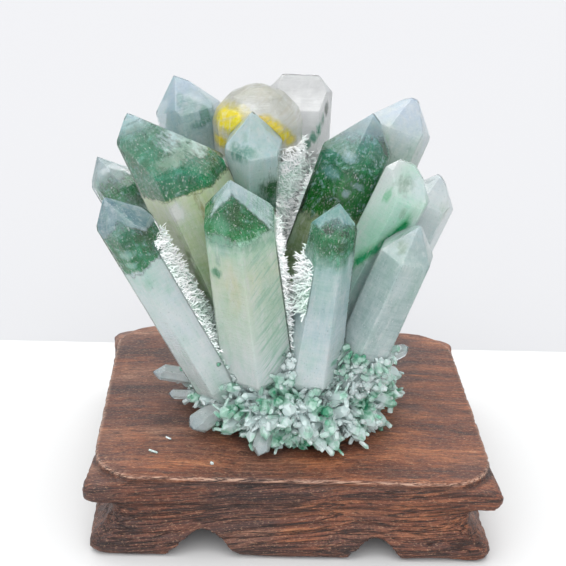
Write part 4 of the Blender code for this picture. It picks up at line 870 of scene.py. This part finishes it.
# White quartz needles that cover the lower parts of some crystals like frost, where they face each
# other: each bed is a crystal's faces between two depths below its end, turned to one side. Then
# the spacing of the needles, their greatest width and their least and greatest length.
needle_quartz = crust_quartz("white_quartz_needles", 0.0, "#e0f0e8", "#f2faf7", "#ffffff")
frost_ground = crust_quartz("matted_quartz_frost", 0.0, "#a9c9b9", "#c4d6cd", "#d3dedb")
FROST = (needle_quartz, 0.42, 0.38, 0.8, 2.8)
LONG_FROST = (needle_quartz, 0.6, 0.45, 1.5, 4.5)
FOOT = (clear_points, 1.4, 2.0, 1.5, 4.2)
BEDS = (
    ("left_front", 15, 62, (0.95, 0.3), FROST),
    ("front_wide", 16, 66, (0.95, 0.2), FROST),
    ("left_tall", 58, 84, (-0.6, -0.8), FROST),
    ("back_tall", 24, 80, (0.1, -1.0), LONG_FROST),
    ("rounded", 17, 64, (0.9, -0.45), FROST),
    ("middle_short", 26, 58, (0.95, 0.3), FROST),
    ("dark_right", 22, 84, (-0.9, 0.5), FROST),
    ("right_mid", 22, 70, (0.9, 0.1), LONG_FROST),
    ("front_right", 17, 34, (-0.95, 0.1), LONG_FROST),
    ("front_wide", 58, 82, (-0.95, 0.1), FOOT),
    ("front_wide", 57, 82, (0.95, 0.1), FOOT),
    ("front_right", 50, 76, (-0.9, 0.2), FOOT),
    ("front_right", 54, 76, (0.85, 0.5), FOOT),
    ("right_low", 42, 68, (0.0, -1.0), FOOT),
    ("right_low", 42, 68, (0.9, 0.1), FOOT),
    ("left_front", 62, 88, (0.95, 0.1), FOOT),
    ("right_mid", 60, 84, (0.9, -0.3), FOOT),
    ("left_tall", 78, 96, (-0.9, -0.2), FOOT),
)
BED_FACING = 0.5
BED_LIFT = 0.08 * MM
FROST_FADE = 4
NEEDLE_DENSITY = 5e6


def needle_bed(name, low, high, way):
    """The faces of a crystal between two depths that turn to one side, as a mesh just off its skin."""
    if name == "rounded":
        bm, root, tip = round_shape(-BED_LIFT), Vector(ROUND_ROOT) * MM, Vector(ROUND_TIP) * MM
    else:
        bm = crystal_shape(CRYSTALS[name], inset=-BED_LIFT)
        root, tip = (Vector(end) * MM for end in CRYSTALS[name][:2])
    length = (tip - root).length
    cut_flat(bm, Vector((0, 0, length - low * MM)), Vector((0, 0, 1)))
    cut_flat(bm, Vector((0, 0, length - high * MM)), Vector((0, 0, -1)))
    bm.normal_update()
    away = [face for face in bm.faces
            if abs(face.normal.z) > 0.5 or face.normal.x * way[0] + face.normal.y * way[1] < BED_FACING]
    bmesh.ops.delete(bm, geom=away, context="FACES")
    bm.transform(crystal_frame(root, tip))
    mesh = bpy.data.meshes.new("needle_bed")
    bm.to_mesh(mesh)
    bm.free()
    return mesh


for number, (name, low, high, way, (material, spacing, width, shortest, longest)) in enumerate(BEDS):
    bed = needle_bed(name, low, high, way)
    if material is needle_quartz:
        ground = bpy.data.objects.new(f"{name}_frost_{number}", needle_bed(name, low + FROST_FADE, high, way))
        ground.data.materials.append(frost_ground)
        bpy.context.scene.collection.objects.link(ground)
        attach(ground, "root")
    grow(f"{name}_needles_{number}", bed, material, **{
        "Spacing": spacing * MM, "Density": NEEDLE_DENSITY, "Width Low": 0.35 * width * MM, "Width High": width * MM,
        "Length Low": shortest * MM, "Length High": longest * MM, "Tilt": 1.0, "Floor": STAND_HEIGHT,
        "Seed": 20 + number})
bpy.data.objects.remove(POINT_SOURCE, do_unlink=True)

# One clear needle that stands out of the gap in front, and splinters that lie loose on the plate.
SINGLES = (
    ((-5.6, -21.4, 74.0), (1.8, -22.6, 77.8), 1.0), ((-39.6, -27.9, 27.6), (-37.9, -29.2, 27.6), 0.5),
    ((-44.3, -35.5, 27.6), (-41.5, -37.0, 27.6), 0.6), ((-25.3, -41.7, 27.7), (-24.5, -42.7, 27.7), 0.8),
)
bm = bmesh.new()
for root, tip, width in SINGLES:
    root, tip = Vector(root) * MM, Vector(tip) * MM
    small_crystal(bm, crystal_frame(root, tip), width * MM, (tip - root).length)
singles = object_from(bm, "single_needles", clear_points)
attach(singles, "root")

# The photographer's table: plain white card under and behind, soft light from all round, and the
# camera a little above, turned and tilted a little as in the photo.
CAMERA_PLACE = (-23.0, -333.5, 221.6)
CAMERA_TURN = math.radians(-3.2)
CAMERA_PITCH = math.radians(24.6)
CAMERA_ROLL = math.radians(3.2)
CAMERA_LENS = 73.1


def aim_camera():
    """The camera, placed as worked out from the stand's corners in the photo."""
    camera = bpy.data.objects.new("camera", bpy.data.cameras.new("camera"))
    camera.data.lens = CAMERA_LENS
    camera.data.sensor_width = 36.0
    camera.data.clip_start = 0.01
    back = Vector((math.sin(CAMERA_TURN) * math.cos(CAMERA_PITCH),
                   -math.cos(CAMERA_TURN) * math.cos(CAMERA_PITCH), math.sin(CAMERA_PITCH)))
    right = Vector((math.cos(CAMERA_TURN), math.sin(CAMERA_TURN), 0.0))
    up = right.cross(-back)
    level = math.cos(CAMERA_ROLL) * right + math.sin(CAMERA_ROLL) * up
    upright = -math.sin(CAMERA_ROLL) * right + math.cos(CAMERA_ROLL) * up
    matrix = Matrix((level, upright, back)).transposed().to_4x4()
    camera.matrix_world = Matrix.Translation(Vector(CAMERA_PLACE) * MM) @ matrix
    bpy.context.scene.collection.objects.link(camera)
    bpy.context.scene.camera = camera


def card(name, points, code):
    """A sheet of plain card through four points."""
    material, tree, shader = new_material(f"{name}_white_card")
    shader.inputs["Base Color"].default_value = linear(code)
    shader.inputs["Roughness"].default_value = 0.9
    shader.inputs["Specular IOR Level"].default_value = 0.1
    bm = bmesh.new()
    bm.faces.new([bm.verts.new(Vector(point)) for point in points])
    thing = object_from(bm, name, material)
    return thing


aim_camera()
card("table", ((-3.0, -3.0, -0.0008), (3.0, -3.0, -0.0008), (3.0, 3.0, -0.0008), (-3.0, 3.0, -0.0008)), "#b8b8ba")
card("paper", ((-1.5, -1.5, -0.0002), (1.5, -1.5, -0.0002), (1.5, 0.115, -0.0002), (-1.5, 0.060, -0.0002)), "#d0d0d0")
world = bpy.data.worlds.new("white_room")
world.use_nodes = True
tree = world.node_tree
way = add(tree, "ShaderNodeTexCoord", out="Generated")
high = add(tree, "ShaderNodeSeparateXYZ", {0: way}).node.outputs[2]
room = add(tree, "ShaderNodeValToRGB", {0: high}, stops=(
    (0.0, (0.86, 0.91, 0.96, 1.0)), (0.3, (0.92, 0.96, 1.0, 1.0)), (0.6, (1.0, 1.0, 1.0, 1.0)), (1.0, (1.0, 1.0, 1.0, 1.0))))
lamp = add(tree, "ShaderNodeVectorMath", {0: way, 1: (-0.12, 0.30, 0.946)}, out="Value", operation="DOT_PRODUCT")
lamp = add(tree, "ShaderNodeMapRange", {"Value": lamp, 1: 0.70, 2: 0.96, 3: 0.0, 4: 2.0}, interpolation_type="SMOOTHSTEP")
front = add(tree, "ShaderNodeVectorMath", {0: way, 1: (-0.30, -0.74, 0.60)}, out="Value", operation="DOT_PRODUCT")
front = add(tree, "ShaderNodeMapRange", {"Value": front, 1: 0.45, 2: 0.97, 3: 1.0, 4: 2.0}, interpolation_type="SMOOTHSTEP")
bright = add(tree, "ShaderNodeMath", {0: lamp, 1: front}, operation="ADD")
tree.links.new(room, tree.nodes["Background"].inputs["Color"])
tree.links.new(bright, tree.nodes["Background"].inputs["Strength"])
bpy.context.scene.world = world
bpy.context.scene.view_settings.view_transform = "Standard"
